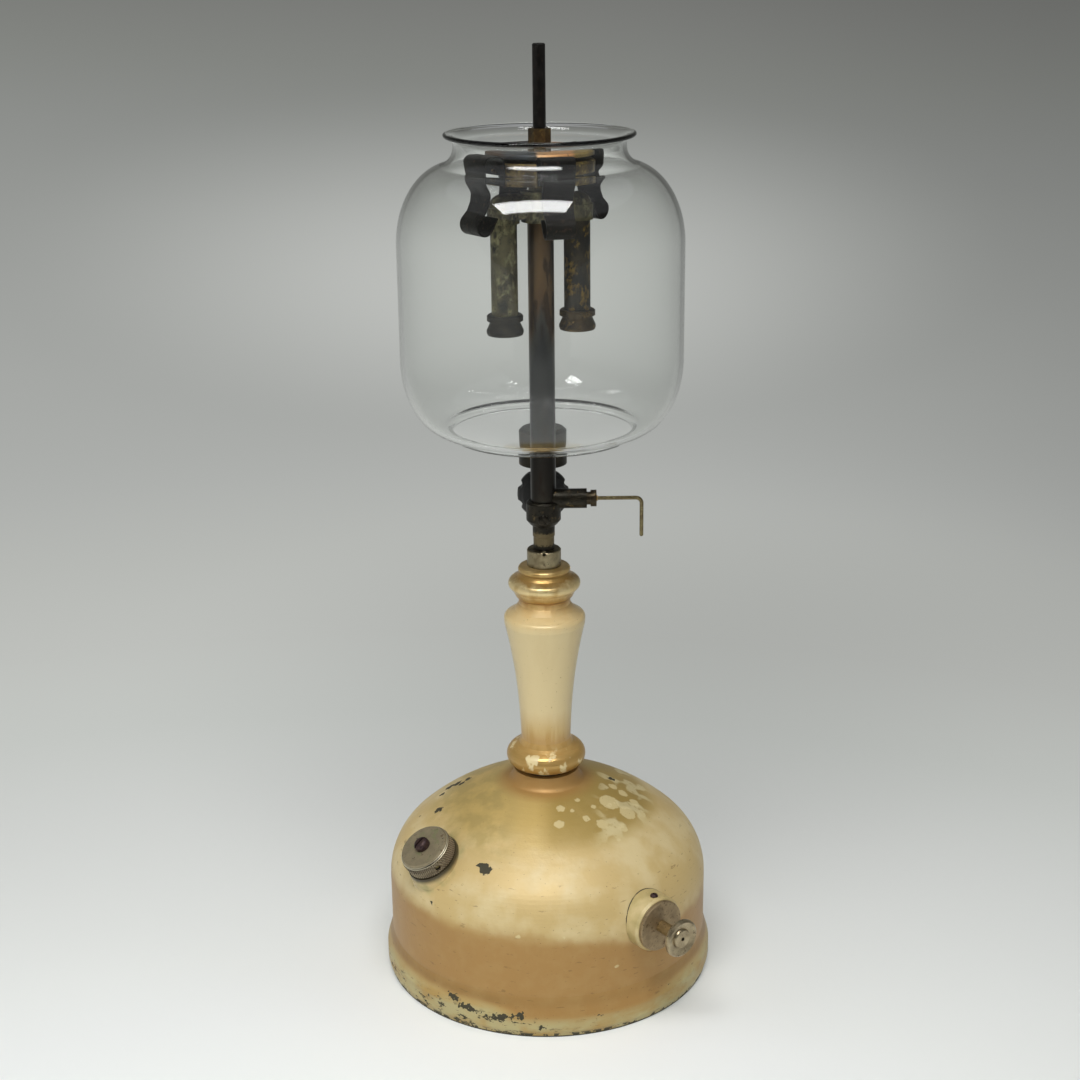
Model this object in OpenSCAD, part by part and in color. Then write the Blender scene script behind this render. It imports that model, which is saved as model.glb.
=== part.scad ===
// Pressure table lamp: a painted font with pump and filler, a turned column, a fuel valve
// with tip cleaner, a vertical generator, a two-mantle burner and a clip-held glass globe.
// Z is up, the origin is on the lamp's axis in the plane that it stands on, and the front is -Y.

/* [Font] */
// Radius of the straight wall
wall_r = 85.9; // [78:0.1:96]
// Height at which the wall starts to curve in
shoulder_z = 52; // [46:0.5:70]
// Radius of the shoulder curve
shoulder_r = 34; // [30:0.5:38]
// Angle that the shoulder curve turns through
shoulder_turn = 48; // [44:1:52]
// Radius of the crown curve above the shoulder
crown_r = 123; // [115:1:140]
// Radius of the flat seat under the column
seat_r = 17.5; // [16:0.5:20]
// Rise of the seat above the crown
seat_rise = 7.2; // [5:0.1:9]
// Width of the hollow curve between the crown and the seat
flare_r = 4; // [2.5:0.1:6]
// Sheet thickness of the font
sheet = 1; // [0.8:0.1:1.6]
// How far the foot flange stands out from the wall
flange_out = 3.1; // [1:0.1:5]
// Height at which the flange meets the wall
flange_z = 22; // [16:1:28]
// Height of the flange's widest line
flange_wide_z = 8; // [6:0.5:12]
// How far the bottom edge tucks in under the widest line
flange_tuck = 1.1; // [0.4:0.1:2]
// Width of the flat ring that the lamp stands on
foot_w = 7; // [4:0.5:12]
// Height of the recess inside the foot ring
foot_recess = 4; // [2:0.5:6]

/* [Filler] */
// Direction of the filler round the lamp, from +X
filler_az = 215.6; // [200:0.1:230]
// How far in from the wall the filler meets the crown
filler_in = 12.8; // [10:0.1:19]
// Angle of the filler's axis above level
filler_tilt = 57; // [50:1:64]
// Outer radius of the filler cap
cap_r = 13.8; // [12.5:0.1:15]
// Height of the filler cap
cap_h = 9.6; // [8:0.1:11]
// Wall of the filler cap
cap_wall = 1.4; // [1:0.1:1.8]
// Height of the painted ring round the filler
filler_ring_h = 2.2; // [1.5:0.1:3]
// Wall of the threaded neck
neck_wall = 2.2; // [1.5:0.1:3]
// Thickness of the cap gasket
gasket_t = 1.6; // [1:0.1:2]
// Radius of the relief screw's head
relief_r = 4.1; // [3:0.1:5]
// Height of the relief screw's head
relief_h = 3.8; // [3:0.1:5]
// Radius of the vent hole in the cap's skirt
vent_r = 1.3; // [0.8:0.1:1.6]

/* [Pump] */
// Direction of the pump round the lamp, from +X
pump_az = -52.4; // [-60:0.1:-40]
// Height of the pump's axis
pump_z = 56.6; // [50:0.1:62]
// How far the steel cap's face stands out from the wall
pump_out = 9.1; // [7:0.1:12]
// Radius of the pump's steel cap
pump_cap_r = 13.4; // [12:0.1:15]
// Thickness of the steel cap's flange
pump_cap_t = 2; // [1.2:0.1:3]
// Radius of the collar where it meets the font
pump_collar_r = 14.8; // [14.2:0.1:18]
// Outer radius of the pump cylinder
barrel_r = 10.5; // [9.5:0.1:11.5]
// Wall of the pump cylinder
barrel_wall = 0.8; // [0.6:0.1:1.2]
// Where the pump cylinder ends, from the lamp's axis
barrel_in = 12; // [10:1:16]
// Radius of the hollow pump rod
rod_r = 3.3; // [2.8:0.1:3.8]
// Radius of the air stem inside the rod
air_stem_r = 1.6; // [1.2:0.1:1.8]
// Radius of the pump knob
pump_knob_r = 10; // [8.5:0.1:11]
// Distance from the steel cap's face to the knob's face
knob_reach = 16.4; // [15:0.1:20]
// Thickness of the pump knob
pump_knob_t = 4.2; // [3:0.1:5]
// Place of the leather cup at rest, from the lamp's axis
cup_at = 36; // [33:0.5:38]

/* [Column] */
// Thickness of the washer under the column
washer_t = 1.2; // [0.8:0.1:2]
// Height of the column
column_h = 113.7; // [108:0.1:122]
// Largest radius of the foot bead
foot_bead_r = 21.2; // [19:0.1:23]
// Tube radius of the foot bead
foot_bead_tube = 6; // [5:0.1:6.5]
// Height of the plain ring under the foot bead
foot_ring_h = 0.4; // [0.2:0.1:3]
// Smallest radius, just above the foot bead
waist_r = 13.2; // [12:0.1:14]
// Largest radius, at the shoulder of the vase
vase_r = 21.3; // [19.5:0.1:23]
// Radius of the groove under the top bead
groove_r = 13.6; // [12:0.1:15]
// Largest radius of the top bead
top_bead_r = 18.9; // [17:0.1:20]
// Radius of the top ring
top_ring_r = 13.6; // [12.5:0.1:15]
// Outer radius of the pipe inside the column
riser_r = 4.6; // [4:0.1:5]
// Radius of the nickel collar nut
collar_r = 8.85; // [8:0.05:10]
// Height of the nickel collar nut
collar_h = 8.9; // [7:0.1:11]

/* [Valve and tip cleaner] */
// Radius of the round valve body
body_r = 8.95; // [8.6:0.05:10]
// Height of the valve body's round part
body_h = 12.1; // [11.5:0.1:14]
// Length of the neck between the collar nut and the round part
body_neck_h = 14.1; // [12:0.1:18]
// Height of the valve stem's axis below the top of the body
stem_drop = 5.6; // [5.4:0.1:6]
// Distance of the hand knob's middle behind the lamp's axis
knob_back = 30; // [28:0.5:34]
// Radius of the scalloped hand knob
hand_knob_r = 13.7; // [12:0.1:15]
// Thickness of the hand knob
hand_knob_t = 9; // [7:0.5:11]
// Number of scallops round the hand knob
scallops = 8; // [6:1:10]
// Radius of the cleaner's side boss
boss_r = 5.1; // [4.8:0.1:5.6]
// Where the side boss ends, from the lamp's axis
boss_out = 22.3; // [20:0.1:26]
// Radius of the lever wire
wire_r = 1; // [0.8:0.05:1.3]
// Distance of the lever's hanging leg from the lamp's axis
lever_out = 50.6; // [46:0.1:56]
// Length of the lever's hanging leg
lever_drop = 20; // [16:0.5:26]
// Throw of the cleaner's crank pin
crank_throw = 1.2; // [1:0.1:1.3]

/* [Burner] */
// Outer radius of the generator tube
generator_r = 6.5; // [6:0.1:6.8]
// Wall of the generator tube
generator_wall = 1.4; // [1:0.1:1.6]
// Length of the generator tube above the valve body
generator_h = 145.9; // [140:0.1:152]
// Distance of the air tube behind the lamp's axis
air_back = 19.5; // [19:0.1:22]
// Outer radius of the air tube
air_r = 6; // [5:0.1:6.4]
// Radius of the air tube's bell
bell_r = 12.5; // [10:0.1:13]
// Height of the bell
bell_h = 18.5; // [14:0.5:22]
// Height of the bell's rim above the top of the valve body
bell_rise = 14.4; // [13:0.1:18]
// Angle of the mantle line from +X
mantle_turn = 18; // [10:1:24]
// Distance between the two mantle tubes
mantle_gap = 38; // [36:0.5:42]
// Outer radius of the mantle tubes
mantle_r = 6.6; // [5.8:0.1:7]
// Length of a mantle tube below the manifold's middle
mantle_h = 56; // [50:0.5:60]
// Height of a mantle cap
mantle_cap_h = 10; // [8:0.5:12]
// Radius of a mantle cap's ring and flared end
mantle_cap_r = 9.2; // [8.6:0.1:10]
// Radius of the burner drum that carries the clips
drum_r = 27; // [25.5:0.1:28]
// Height of the burner drum
drum_h = 9.7; // [8.5:0.1:12]
// Gap between the heat plate's edge and the clips' legs
plate_gap = 0.4; // [0.3:0.1:1]
// Thickness of the heat plate's edge
plate_t = 1.8; // [1.2:0.1:2.5]
// Width of the hexagonal nut across its flats
nut_af = 9.6; // [8.5:0.1:11]
// Height of the hexagonal nut
nut_h = 9.6; // [7:0.1:12]
// Radius of the shade post
post_r = 3.15; // [2.8:0.05:3.3]
// Free length of the shade post above its nut
post_h = 39.7; // [30:0.1:60]

/* [Globe and clips] */
// Outer radius of the globe's body
globe_r = 71.2; // [68:0.1:74]
// Height of the globe
globe_h = 150.5; // [147:0.5:154]
// Wall of the globe
glass = 2.1; // [1.6:0.1:2.6]
// Outer radius of the globe's neck
globe_neck_r = 42.4; // [41.8:0.1:43]
// Outer radius of the rim bead
bead_out_r = 47; // [46:0.1:48]
// Outer radius of the bottom opening's rim
globe_foot_r = 47.7; // [47.5:0.1:49]
// Height of the globe's widest line above its foot
globe_low_h = 39; // [34:0.5:44]
// Depth below the rim at which the globe's shoulder starts
globe_high_drop = 54.2; // [50:0.1:58]
// Height of the globe's rim above the heat plate
globe_rise = 7.8; // [7:0.1:8.6]
// Width of a spring clip at its top
clip_w = 16.4; // [12:0.1:18]
// Width of a spring clip at its curl
clip_low_w = 13.6; // [9:0.1:15]
// Thickness of a spring clip
clip_t = 0.8; // [0.6:0.1:1]
// Height of the clips' tops above the drum
clip_rise = 4.4; // [3.6:0.1:5]
// Outer bend of a clip's top
bend_r = 4; // [3:0.1:4.5]
// Depth below a clip's top at which its waist lies
waist_drop = 18.8; // [16:0.1:22]
// How far a clip's waist stands back from its face
waist_in = 3; // [1:0.1:4]
// Depth below a clip's top at which its curl stands out most
curl_drop = 32.8; // [30:0.1:36]
// Radius of a clip's curl
curl_r = 4.6; // [3:0.1:5.5]
// Length of the straight end of a clip's curl
curl_end = 6.4; // [3:0.1:8]
// Angle of the first rear clip from +X
clip_rear = 47; // [42:1:52]
// Angle of the first front clip from +X
clip_front = 218; // [213:1:224]
// Angle between the two clips of a pair
clip_step = 65; // [60:1:72]
// Radius of a rivet's head
rivet_r = 1.9; // [1.2:0.1:2.4]

/* [Fits] */
// Clearance round a part that turns or slides
running = 0.06; // [0.04:0.01:0.1]
// Clearance between pieces that are assembled and stay still
seat = 0.1; // [0.05:0.05:0.2]

/* [Hidden] */
$fn = 96;
through = 1;

// font
flange_r = wall_r + flange_out;
bottom_r = flange_r - flange_tuck;
shoulder_c = wall_r - shoulder_r;
turn_r = shoulder_c + shoulder_r * cos(shoulder_turn);
turn_z = shoulder_z + shoulder_r * sin(shoulder_turn);
crown_c = turn_r - crown_r * cos(shoulder_turn);
crown_cz = turn_z - crown_r * sin(shoulder_turn);
crown_end = acos((seat_r + flare_r - crown_c) / crown_r);
crown_z = crown_cz + crown_r * sin(crown_end);
seat_z = crown_z + seat_rise;
filler_at = wall_r - filler_in;
filler_fall = acos((filler_at - shoulder_c) / shoulder_r);
filler_z = filler_fall < shoulder_turn ? shoulder_z + shoulder_r * sin(filler_fall)
    : crown_cz + sqrt(crown_r * crown_r - pow(filler_at - crown_c, 2));
pipe_hole_r = riser_r + seat;

// filler, measured along its own axis from the font's outer face
neck_r = cap_r - cap_wall - 0.2;
neck_bore_r = neck_r - neck_wall;
cap_floor = filler_ring_h + 0.4;
cap_top = cap_floor + cap_h;
cap_in_h = cap_h - 2.2;
gasket_z = cap_floor + cap_in_h - gasket_t;
neck_top = gasket_z - 0.1;

// pump, measured outwards from the lamp's axis
pump_face = wall_r + pump_out;
barrel_bore = barrel_r - barrel_wall;
barrel_out = pump_face - pump_cap_t;
plug_l = 7;
push_in = 8;
valve_l = 8;
rod_bore = air_stem_r + running;
knob_face = pump_face + knob_reach;
knob_back_at = knob_face - pump_knob_t;
knob_blind = knob_face - 1.2;
cup_l = 6;
cup_r = barrel_bore - 0.35;

// column
column_z = seat_z + washer_t;
bead_z = column_z + foot_ring_h + foot_bead_tube;
column_top = column_z + column_h;
bore_r = riser_r + 1.2;
collar_z = column_top + seat / 2;
collar_top = collar_z + collar_h;

// valve
body_z = collar_top + body_neck_h;
body_top = body_z + body_h;
stem_z = body_top - stem_drop;
plug_z = body_z + 3.6;
plug_head_r = 2.9;
plug_sink = 0.55;
spigot_r = 5.4;
neck2_r = 5.75;
valve_stem_r = 2.2;
valve_cone = 3;
gland_len = 5;
gland_neck_r = 3.35;
gland_head_r = 4.3;
crank_z = body_top + 0.7;
shaft_r = 1.5;
gen_seat_z = body_top - 2.6;
pin_r = 0.6;
disc_r = 2.3;
disc_x = 1.2;
disc_t = 1.2;
yoke_w = 6;
yoke_t = 1.4;
yoke_play = 0.36;
slot_w = 2 * (pin_r + crank_throw + 0.3);
slot_h = 2 * (pin_r + yoke_play);
needle_r = 0.8;
needle_tip_r = 0.35;
boss_gap = running + 0.04;
packing_l = 3;
packing_x = boss_out - packing_l - 1;

// burner
gen_top = body_top + generator_h;
gen_bore = generator_r - generator_wall;
tip_h = 7;
tip_chamber_h = 5.4;
needle_out = 0.5;
chamber_r = generator_r - 0.7;
manifold_z = gen_top + 5.6;
arm_r = 6.9;
hub_r = 9.5;
mantle_x = mantle_gap / 2;
mantle_bot = manifold_z - mantle_h;
mantle_wall = 1;
mantle_grip = 6.6;
bell_z = body_top + bell_rise;
bell_top = bell_z + bell_h;
drum_z = manifold_z + 12.6;
drum_top = drum_z + drum_h;
drum_t = 1.2;
spacer_h = 3.1;
spacer_r = 11;
plate_r = drum_r - plate_gap;
plate_z = drum_top + spacer_h;
plate_top = plate_z + plate_t;
nut_top = plate_top + nut_h;
post_top = nut_top + post_h;
post_in = 10;
thread_r = post_r - 0.3;
stud_r = thread_r + 1.2;
stud_step = 1.6;

// globe and clips; the neck hangs round the clips' faces, and the foot passes their curls
neck_in_r = globe_neck_r - glass;
clip_gap = 0.3;
curl_gap = 1.6;
face_r = sqrt(pow(neck_in_r - clip_gap, 2) - pow(clip_w / 2, 2)) - clip_t / 2;
leg_r = drum_r + clip_t / 2;
clip_waist_r = face_r - waist_in;
curl_out_r = sqrt(pow(globe_foot_r - glass - curl_gap, 2) - pow(clip_low_w / 2, 2)) - clip_t / 2;
clip_top = drum_top + clip_rise;
bend_z = clip_top - clip_t / 2 - bend_r;
clip_waist_z = clip_top - waist_drop;
curl_z = clip_top - curl_drop;
clip_angles = [clip_rear, clip_rear + clip_step, clip_front, clip_front + clip_step];
globe_top = plate_top + globe_rise;
globe_z = globe_top - globe_h;

// points of an arc about (x, z), from angle a to angle b
function arc(x, z, r, a, b, steps = 12) =
    [for (i = [0:steps]) let (t = a + (b - a) * i / steps) [x + r * cos(t), z + r * sin(t)]];

// points of a quarter of an ellipse, from the outer end at (x + rx, z)
function quarter(x, z, rx, rz, steps = 14) =
    [for (i = [0:steps]) let (t = 90 * i / steps) [x + rx * cos(t), z + rz * sin(t)]];

function backwards(list) = [for (i = [len(list) - 1:-1:0]) list[i]];

// a strip of constant thickness along a centre line
function normal(p, i) = let (a = p[max(i - 1, 0)], b = p[min(i + 1, len(p) - 1)], d = b - a)
    [-d[1], d[0]] / norm(d);
function side(p, off) = [for (i = [0:len(p) - 1]) p[i] + off * normal(p, i)];
function strip(p, t) = concat(side(p, t / 2), backwards(side(p, -t / 2)));

// turned solid from half an outline
module turned(points) {
    rotate_extrude() polygon(points);
}

module ring(r_out, r_in, h) {
    difference() {
        cylinder(r = r_out, h = h);
        translate([0, 0, -through]) cylinder(r = r_in, h = h + 2 * through);
    }
}

// places: +Z of the child points out along the named axis
module at_filler() {
    rotate([0, 0, filler_az]) translate([filler_at, 0, filler_z])
        rotate([0, 90 - filler_tilt, 0]) children();
}

module at_pump() {
    rotate([0, 0, pump_az]) translate([0, 0, pump_z]) rotate([0, 90, 0]) children();
}

module at_valve_stem() {
    translate([0, 0, stem_z]) rotate([-90, 0, 0]) children();
}

module at_crank() {
    translate([0, 0, crank_z]) rotate([0, 90, 0]) children();
}

module at_mantle(side_sign) {
    rotate([0, 0, mantle_turn]) translate([side_sign * mantle_x, 0, 0]) children();
}

// ---- font ----

function font_profile(skin) = concat(
    [[0, 0], [bottom_r - skin, 0], [flange_r - skin, flange_wide_z * 0.5],
     [flange_r - skin, flange_wide_z + 3], [flange_r - skin - 1.2, flange_wide_z + 7],
     [wall_r - skin, flange_z]],
    arc(shoulder_c, shoulder_z, shoulder_r - skin, 0, shoulder_turn),
    arc(crown_c, crown_cz, crown_r - skin, shoulder_turn + 2, crown_end - 1),
    seat_flare(flare_r + skin, seat_rise + skin, asin(skin / (seat_rise + skin))),
    [[0, seat_z - skin]]);

// hollow quarter ellipse from the crown up to the seat's edge
function seat_flare(rx, rz, last, steps = 10) =
    [for (i = [0:steps]) let (t = 80 + (last - 80) * i / steps)
        [seat_r + flare_r - rx * cos(t), seat_z - rz * sin(t)]];

module font_solid(grow = 0) {
    turned(font_profile(-grow));
}

module tank_shell() {
    color("darkkhaki") difference() {
        turned(font_profile(0));
        difference() {
            turned(font_profile(sheet));
            translate([0, 0, -through]) cylinder(r = flange_r, h = through);
        }
        translate([0, 0, -through]) cylinder(r = bottom_r - sheet, h = 2 * through);
        translate([0, 0, seat_z - 3 * sheet]) cylinder(r = pipe_hole_r, h = 6 * sheet);
        at_filler() translate([0, 0, -8]) cylinder(r = neck_r + seat, h = 20);
        at_pump() translate([0, 0, wall_r / 2]) cylinder(r = barrel_r + seat, h = wall_r);
    }
}

module base_plate() {
    plate_out = bottom_r - sheet - seat;
    color("peru") turned([[0, foot_recess], [plate_out - foot_w - foot_recess, foot_recess],
        [plate_out - foot_w, 0], [plate_out, 0], [plate_out, 5], [plate_out - sheet, 5],
        [plate_out - sheet, sheet], [plate_out - foot_w + sheet / 2, sheet],
        [plate_out - foot_w - foot_recess + sheet / 2, foot_recess + sheet],
        [0, foot_recess + sheet]]);
}

// ---- filler ----

module filler_collar() {
    color("darkkhaki") difference() {
        at_filler() union() {
            translate([0, 0, -9]) cylinder(r = neck_r, h = neck_top + 9);
            translate([0, 0, -9]) cylinder(r1 = cap_r + 3.6, r2 = cap_r + 0.6, h = filler_ring_h + 9);
        }
        difference() {
            font_solid(seat);
            at_filler() translate([0, 0, -6]) cylinder(r = neck_r, h = 20);
        }
        at_filler() translate([0, 0, -20]) cylinder(r = neck_bore_r, h = 40);
    }
}

module filler_gasket() {
    color("dimgray") at_filler() translate([0, 0, gasket_z])
        ring(cap_r - cap_wall - 0.35, 3.2, gasket_t - running);
}

module filler_cap() {
    color("silver") at_filler() difference() {
        translate([0, 0, cap_floor]) turned([[0, 0], [cap_r, 0], [cap_r, cap_h - 2.4],
            [cap_r - 0.5, cap_h - 1.9], [cap_r - 0.1, cap_h - 1.4], [cap_r - 0.6, cap_h - 0.9],
            [cap_r - 0.8, cap_h - 0.5], [cap_r - 1.2, cap_h], [0, cap_h]]);
        translate([0, 0, cap_floor - through])
            cylinder(r = cap_r - cap_wall, h = cap_in_h + through);
        translate([0, 0, cap_floor]) cylinder(r = 1.7 + running, h = cap_h + through);
        translate([0, 0, cap_floor + 3.4]) rotate([0, 0, 75]) rotate([0, 90, 0])
            cylinder(r = vent_r, h = cap_r + through);
    }
}

module relief_screw() {
    head_z = cap_top + 0.15;
    color("rosybrown") at_filler() difference() {
        union() {
            translate([0, 0, head_z]) turned(concat([[0, 0], [relief_r, 0], [relief_r, 1.2]],
                quarter(relief_r - 2.2, 1.2, 2.2, relief_h - 1.2, 8), [[0, relief_h]]));
            translate([0, 0, gasket_z + 0.4]) cylinder(r = 1.7, h = head_z - gasket_z);
        }
        translate([-relief_r, -0.55, head_z + relief_h - 1.5]) cube([2 * relief_r, 1.1, 2]);
    }
}

// ---- pump ----

module pump_collar() {
    color("darkkhaki") difference() {
        at_pump() translate([0, 0, wall_r - 24]) union() {
            cylinder(r = pump_collar_r, h = barrel_out - wall_r + 22.5);
            translate([0, 0, barrel_out - wall_r + 22.5])
                cylinder(r1 = pump_collar_r, r2 = pump_cap_r + 0.4, h = 1.5 - seat);
        }
        font_solid(seat);
        at_pump() translate([0, 0, wall_r / 2]) cylinder(r = barrel_r + seat, h = wall_r);
    }
}

module collar_screw() {
    color("dimgray") at_pump() translate([-pump_collar_r - 0.05, 0, barrel_out - 4])
        rotate([0, -90, 0]) difference() {
            turned(concat([[0, 0], [2, 0]], quarter(0.8, 0.3, 1.2, 1, 6), [[0, 1.3]]));
            translate([-2, -0.3, 0.7]) cube([4, 0.6, 1]);
        }
}

module pump_cylinder() {
    color("peru") at_pump() translate([0, 0, barrel_in]) difference() {
        cylinder(r = barrel_r, h = barrel_out - barrel_in - seat);
        translate([0, 0, -through])
            cylinder(r = barrel_bore, h = barrel_out - barrel_in + 2 * through);
    }
}

module pump_cap() {
    color("gray") at_pump() difference() {
        union() {
            translate([0, 0, barrel_out]) turned([[0, 0], [pump_cap_r, 0],
                [pump_cap_r, pump_cap_t - 0.4], [pump_cap_r - 0.4, pump_cap_t], [0, pump_cap_t]]);
            translate([0, 0, barrel_out - plug_l]) cylinder(r = barrel_bore - seat / 2, h = plug_l);
        }
        translate([0, 0, barrel_out - plug_l - through])
            cylinder(r = rod_r + running, h = plug_l + pump_cap_t + 2 * through);
        translate([0, 0, barrel_out - plug_l - through])
            cylinder(r = rod_r + 2, h = plug_l - 2 + through);
    }
}

module check_valve() {
    color("goldenrod") at_pump() translate([0, 0, barrel_in]) difference() {
        union() {
            cylinder(r = barrel_bore - seat / 2, h = valve_l);
            translate([0, 0, -4]) cylinder(r = 5, h = 4);
        }
        translate([0, 0, 2]) cylinder(r = air_stem_r + 0.5, h = valve_l);
        translate([0, 0, -5]) cylinder(r = 0.6, h = 8);
    }
}

module air_stem() {
    stem_in = barrel_in + 3.5;
    point_l = 1.6;
    stem_out = knob_blind - push_in - 0.5;
    color("goldenrod") at_pump() {
        translate([0, 0, stem_in + point_l]) cylinder(r = air_stem_r, h = stem_out - stem_in - point_l);
        translate([0, 0, stem_in]) cylinder(r1 = 0.3, r2 = air_stem_r, h = point_l);
    }
}

module pump_rod() {
    color("tan") at_pump() translate([0, 0, cup_at - 1])
        ring(rod_r, rod_bore, knob_back_at - cup_at + 2.5);
}

module pump_knob() {
    dish = 1.1;
    inner_r = 4.9;
    color("silver") at_pump() translate([0, 0, knob_back_at]) difference() {
        turned([[0, 0.9], [rod_r + 2.6, 0], [pump_knob_r - 1.4, 0.6], [pump_knob_r, 1.9],
            [pump_knob_r, pump_knob_t - 1], [pump_knob_r - 1, pump_knob_t],
            [pump_knob_r - 2.2, pump_knob_t - 0.4], [inner_r + 0.4, pump_knob_t - dish],
            [inner_r, pump_knob_t - 0.3], [inner_r - 0.4, pump_knob_t], [0, pump_knob_t]]);
        translate([0, 0, -through]) cylinder(r = rod_r + 0.02, h = 2.5 + through);
        cylinder(r = rod_bore, h = knob_blind - knob_back_at);
        cylinder(r = 1, h = pump_knob_t + through);
    }
}

module pump_cup() {
    color("saddlebrown") at_pump() translate([0, 0, cup_at]) difference() {
        turned([[0, cup_l], [cup_r - 2, cup_l], [cup_r, cup_l - 1.6], [cup_r, 0], [0, 0]]);
        translate([0, 0, -through]) cylinder(r = cup_r - 1.6, h = cup_l - 1.6 + through);
        translate([0, 0, -through]) cylinder(r = rod_r + 0.03, h = cup_l + 2 * through);
    }
}

module cup_retainer() {
    color("goldenrod") at_pump() {
        translate([0, 0, cup_at + cup_l]) ring(cup_r - 2.2, rod_r + 0.03, 1.2);
        translate([0, 0, cup_at + cup_l - 4]) ring(cup_r - 2, rod_r + 0.03, 2.4);
    }
}

// ---- column ----

module column_washer() {
    color("dimgray") translate([0, 0, seat_z]) ring(seat_r - 3, bore_r, washer_t);
}

module stem_column() {
    foot_c = foot_bead_r - foot_bead_tube;
    vase_z = column_top - 29.2;
    groove_z = column_top - 19.4;
    top_bead_z = column_top - 9.8;
    ring_z = column_top - 2.6;
    // the vase swells from waist to shoulder by a smooth rule
    function vase(t) = waist_r + (vase_r - waist_r) * (0.22 * t + 0.78 * pow(t, 2.2));
    waist_z = bead_z + foot_bead_tube + 4;
    outline = concat(
        [[0, column_z], [foot_c - 0.6, column_z], [foot_c - 0.6, bead_z - foot_bead_tube + 0.6]],
        arc(foot_c, bead_z, foot_bead_tube, -84, 78),
        [[waist_r + 1.2, bead_z + foot_bead_tube + 1.2]],
        [for (i = [0:14]) [vase(i / 14), waist_z + (vase_z - 2.2 - waist_z) * i / 14]],
        arc(vase_r - 2.6, vase_z + 0.2, 2.7, -4, 74, 8),
        [[groove_r + 2.2, vase_z + 5.2], [groove_r, groove_z - 1.4], [groove_r, groove_z + 1.6],
         [groove_r + 1.4, groove_z + 2.8], [top_bead_r - 2.4, top_bead_z - 3.6]],
        arc(top_bead_r - 3, top_bead_z, 3, -50, 66, 8),
        [[top_ring_r + 0.8, ring_z - 3], [top_ring_r - 0.2, ring_z - 1.8]],
        arc(top_ring_r - 1.6, ring_z + 0.6, 1.7, -60, 76, 6),
        [[collar_r + 0.9, column_top], [0, column_top]]);
    color("wheat") difference() {
        turned(outline);
        translate([0, 0, column_z - through]) cylinder(r = bore_r, h = column_h + 2 * through);
    }
}

module riser_pipe() {
    pipe_in = seat_z - 9;
    color("peru") translate([0, 0, pipe_in]) difference() {
        union() {
            cylinder(r = riser_r, h = collar_top - 0.2 - pipe_in);
            cylinder(r = riser_r + 4, h = 9 - sheet - seat, $fn = 6);
        }
        translate([0, 0, -through])
            cylinder(r = riser_r - 1, h = collar_top - pipe_in + 2 * through);
    }
}

module pickup_tube() {
    pick_r = riser_r - 1 - seat;
    color("peru") translate([0, 0, 12]) ring(pick_r, pick_r - 0.8, seat_z - 9 + 6 - 12);
}

module pickup_strainer() {
    pick_r = riser_r - 1;
    color("tan") translate([0, 0, 7]) difference() {
        cylinder(r = pick_r + 1, h = 14);
        translate([0, 0, 1]) cylinder(r = pick_r, h = 14);
        for (k = [0:5], j = [0:2]) rotate([0, 0, 60 * k + 30 * j])
            translate([0, 0, 3 + 3 * j]) rotate([0, 90, 0]) cylinder(r = 0.8, h = pick_r + 3);
    }
}

module collar_nut() {
    color("silver") translate([0, 0, collar_z]) difference() {
        turned([[0, 0], [collar_r, 0], [collar_r, collar_h - 0.5], [collar_r - 0.5, collar_h],
            [0, collar_h]]);
        translate([0, 0, -through]) cylinder(r = riser_r + 0.03, h = collar_h + 2 * through);
        translate([0, -collar_r, collar_h - 0.6]) rotate([-90, 0, 0]) cylinder(r = 1, h = 3);
    }
}

// ---- valve and tip cleaner ----

module valve_body() {
    stem_chamber_r = valve_stem_r + 0.25;
    neck_z = collar_top + 0.05;
    color("darkslategray") difference() {
        union() {
            translate([0, 0, neck_z]) turned([[0, 0], [spigot_r, 0], [spigot_r, 6.6],
                [neck2_r, 7.2], [neck2_r, body_neck_h - 1.6], [body_r - 1.6, body_neck_h - 0.2],
                [body_r, body_neck_h + 1.8], [body_r, body_neck_h + body_h - 1.2],
                [body_r - 1.2, body_neck_h + body_h - 0.05], [0, body_neck_h + body_h - 0.05]]);
            at_crank() cylinder(r = boss_r, h = boss_out);
            at_valve_stem() cylinder(r = boss_r, h = body_r + 4);
        }
        // seat of the generator
        translate([0, 0, gen_seat_z]) cylinder(r = generator_r + seat, h = 30);
        // fuel way up to the valve seat and on to the generator
        translate([0, 0, neck_z - through]) cylinder(r = 1.8, h = stem_z - neck_z + through);
        translate([0, 0, stem_z]) cylinder(r = 1.5, h = 8);
        at_valve_stem() translate([0, 0, valve_cone]) cylinder(r = stem_chamber_r, h = 40);
        at_crank() cylinder(r = shaft_r + running, h = 40);
        at_crank() translate([0, 0, packing_x]) cylinder(r = gland_neck_r - 0.4, h = 40);
        at_valve_stem() translate([0, 0, body_r + 1]) cylinder(r = 3.7, h = 40);
        // hole and flat seat of the plug screw
        translate([0, -body_r - through, plug_z]) rotate([-90, 0, 0])
            cylinder(r = 2.1, h = 4 + through);
        translate([0, -body_r - through, plug_z]) rotate([-90, 0, 0])
            cylinder(r = plug_head_r + seat, h = plug_sink + through);
    }
}

module valve_plug_screw() {
    color("black") translate([0, plug_sink - body_r, plug_z]) rotate([90, 0, 0]) difference() {
        union() {
            translate([0, 0, -2.4]) cylinder(r = 2.05, h = 2.6);
            turned(concat([[0, 0], [plug_head_r, 0]],
                quarter(plug_head_r - 1.4, 0.3, 1.4, 1.1, 6), [[0, 1.4]]));
        }
        rotate([0, 0, -52]) translate([-plug_head_r, -0.35, 0.7]) cube([2 * plug_head_r, 0.7, 2]);
    }
}

module valve_packing() {
    color("dimgray") at_valve_stem() translate([0, 0, body_r + 1.1])
        ring(3.6, valve_stem_r + running, 2.4);
}

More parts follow.
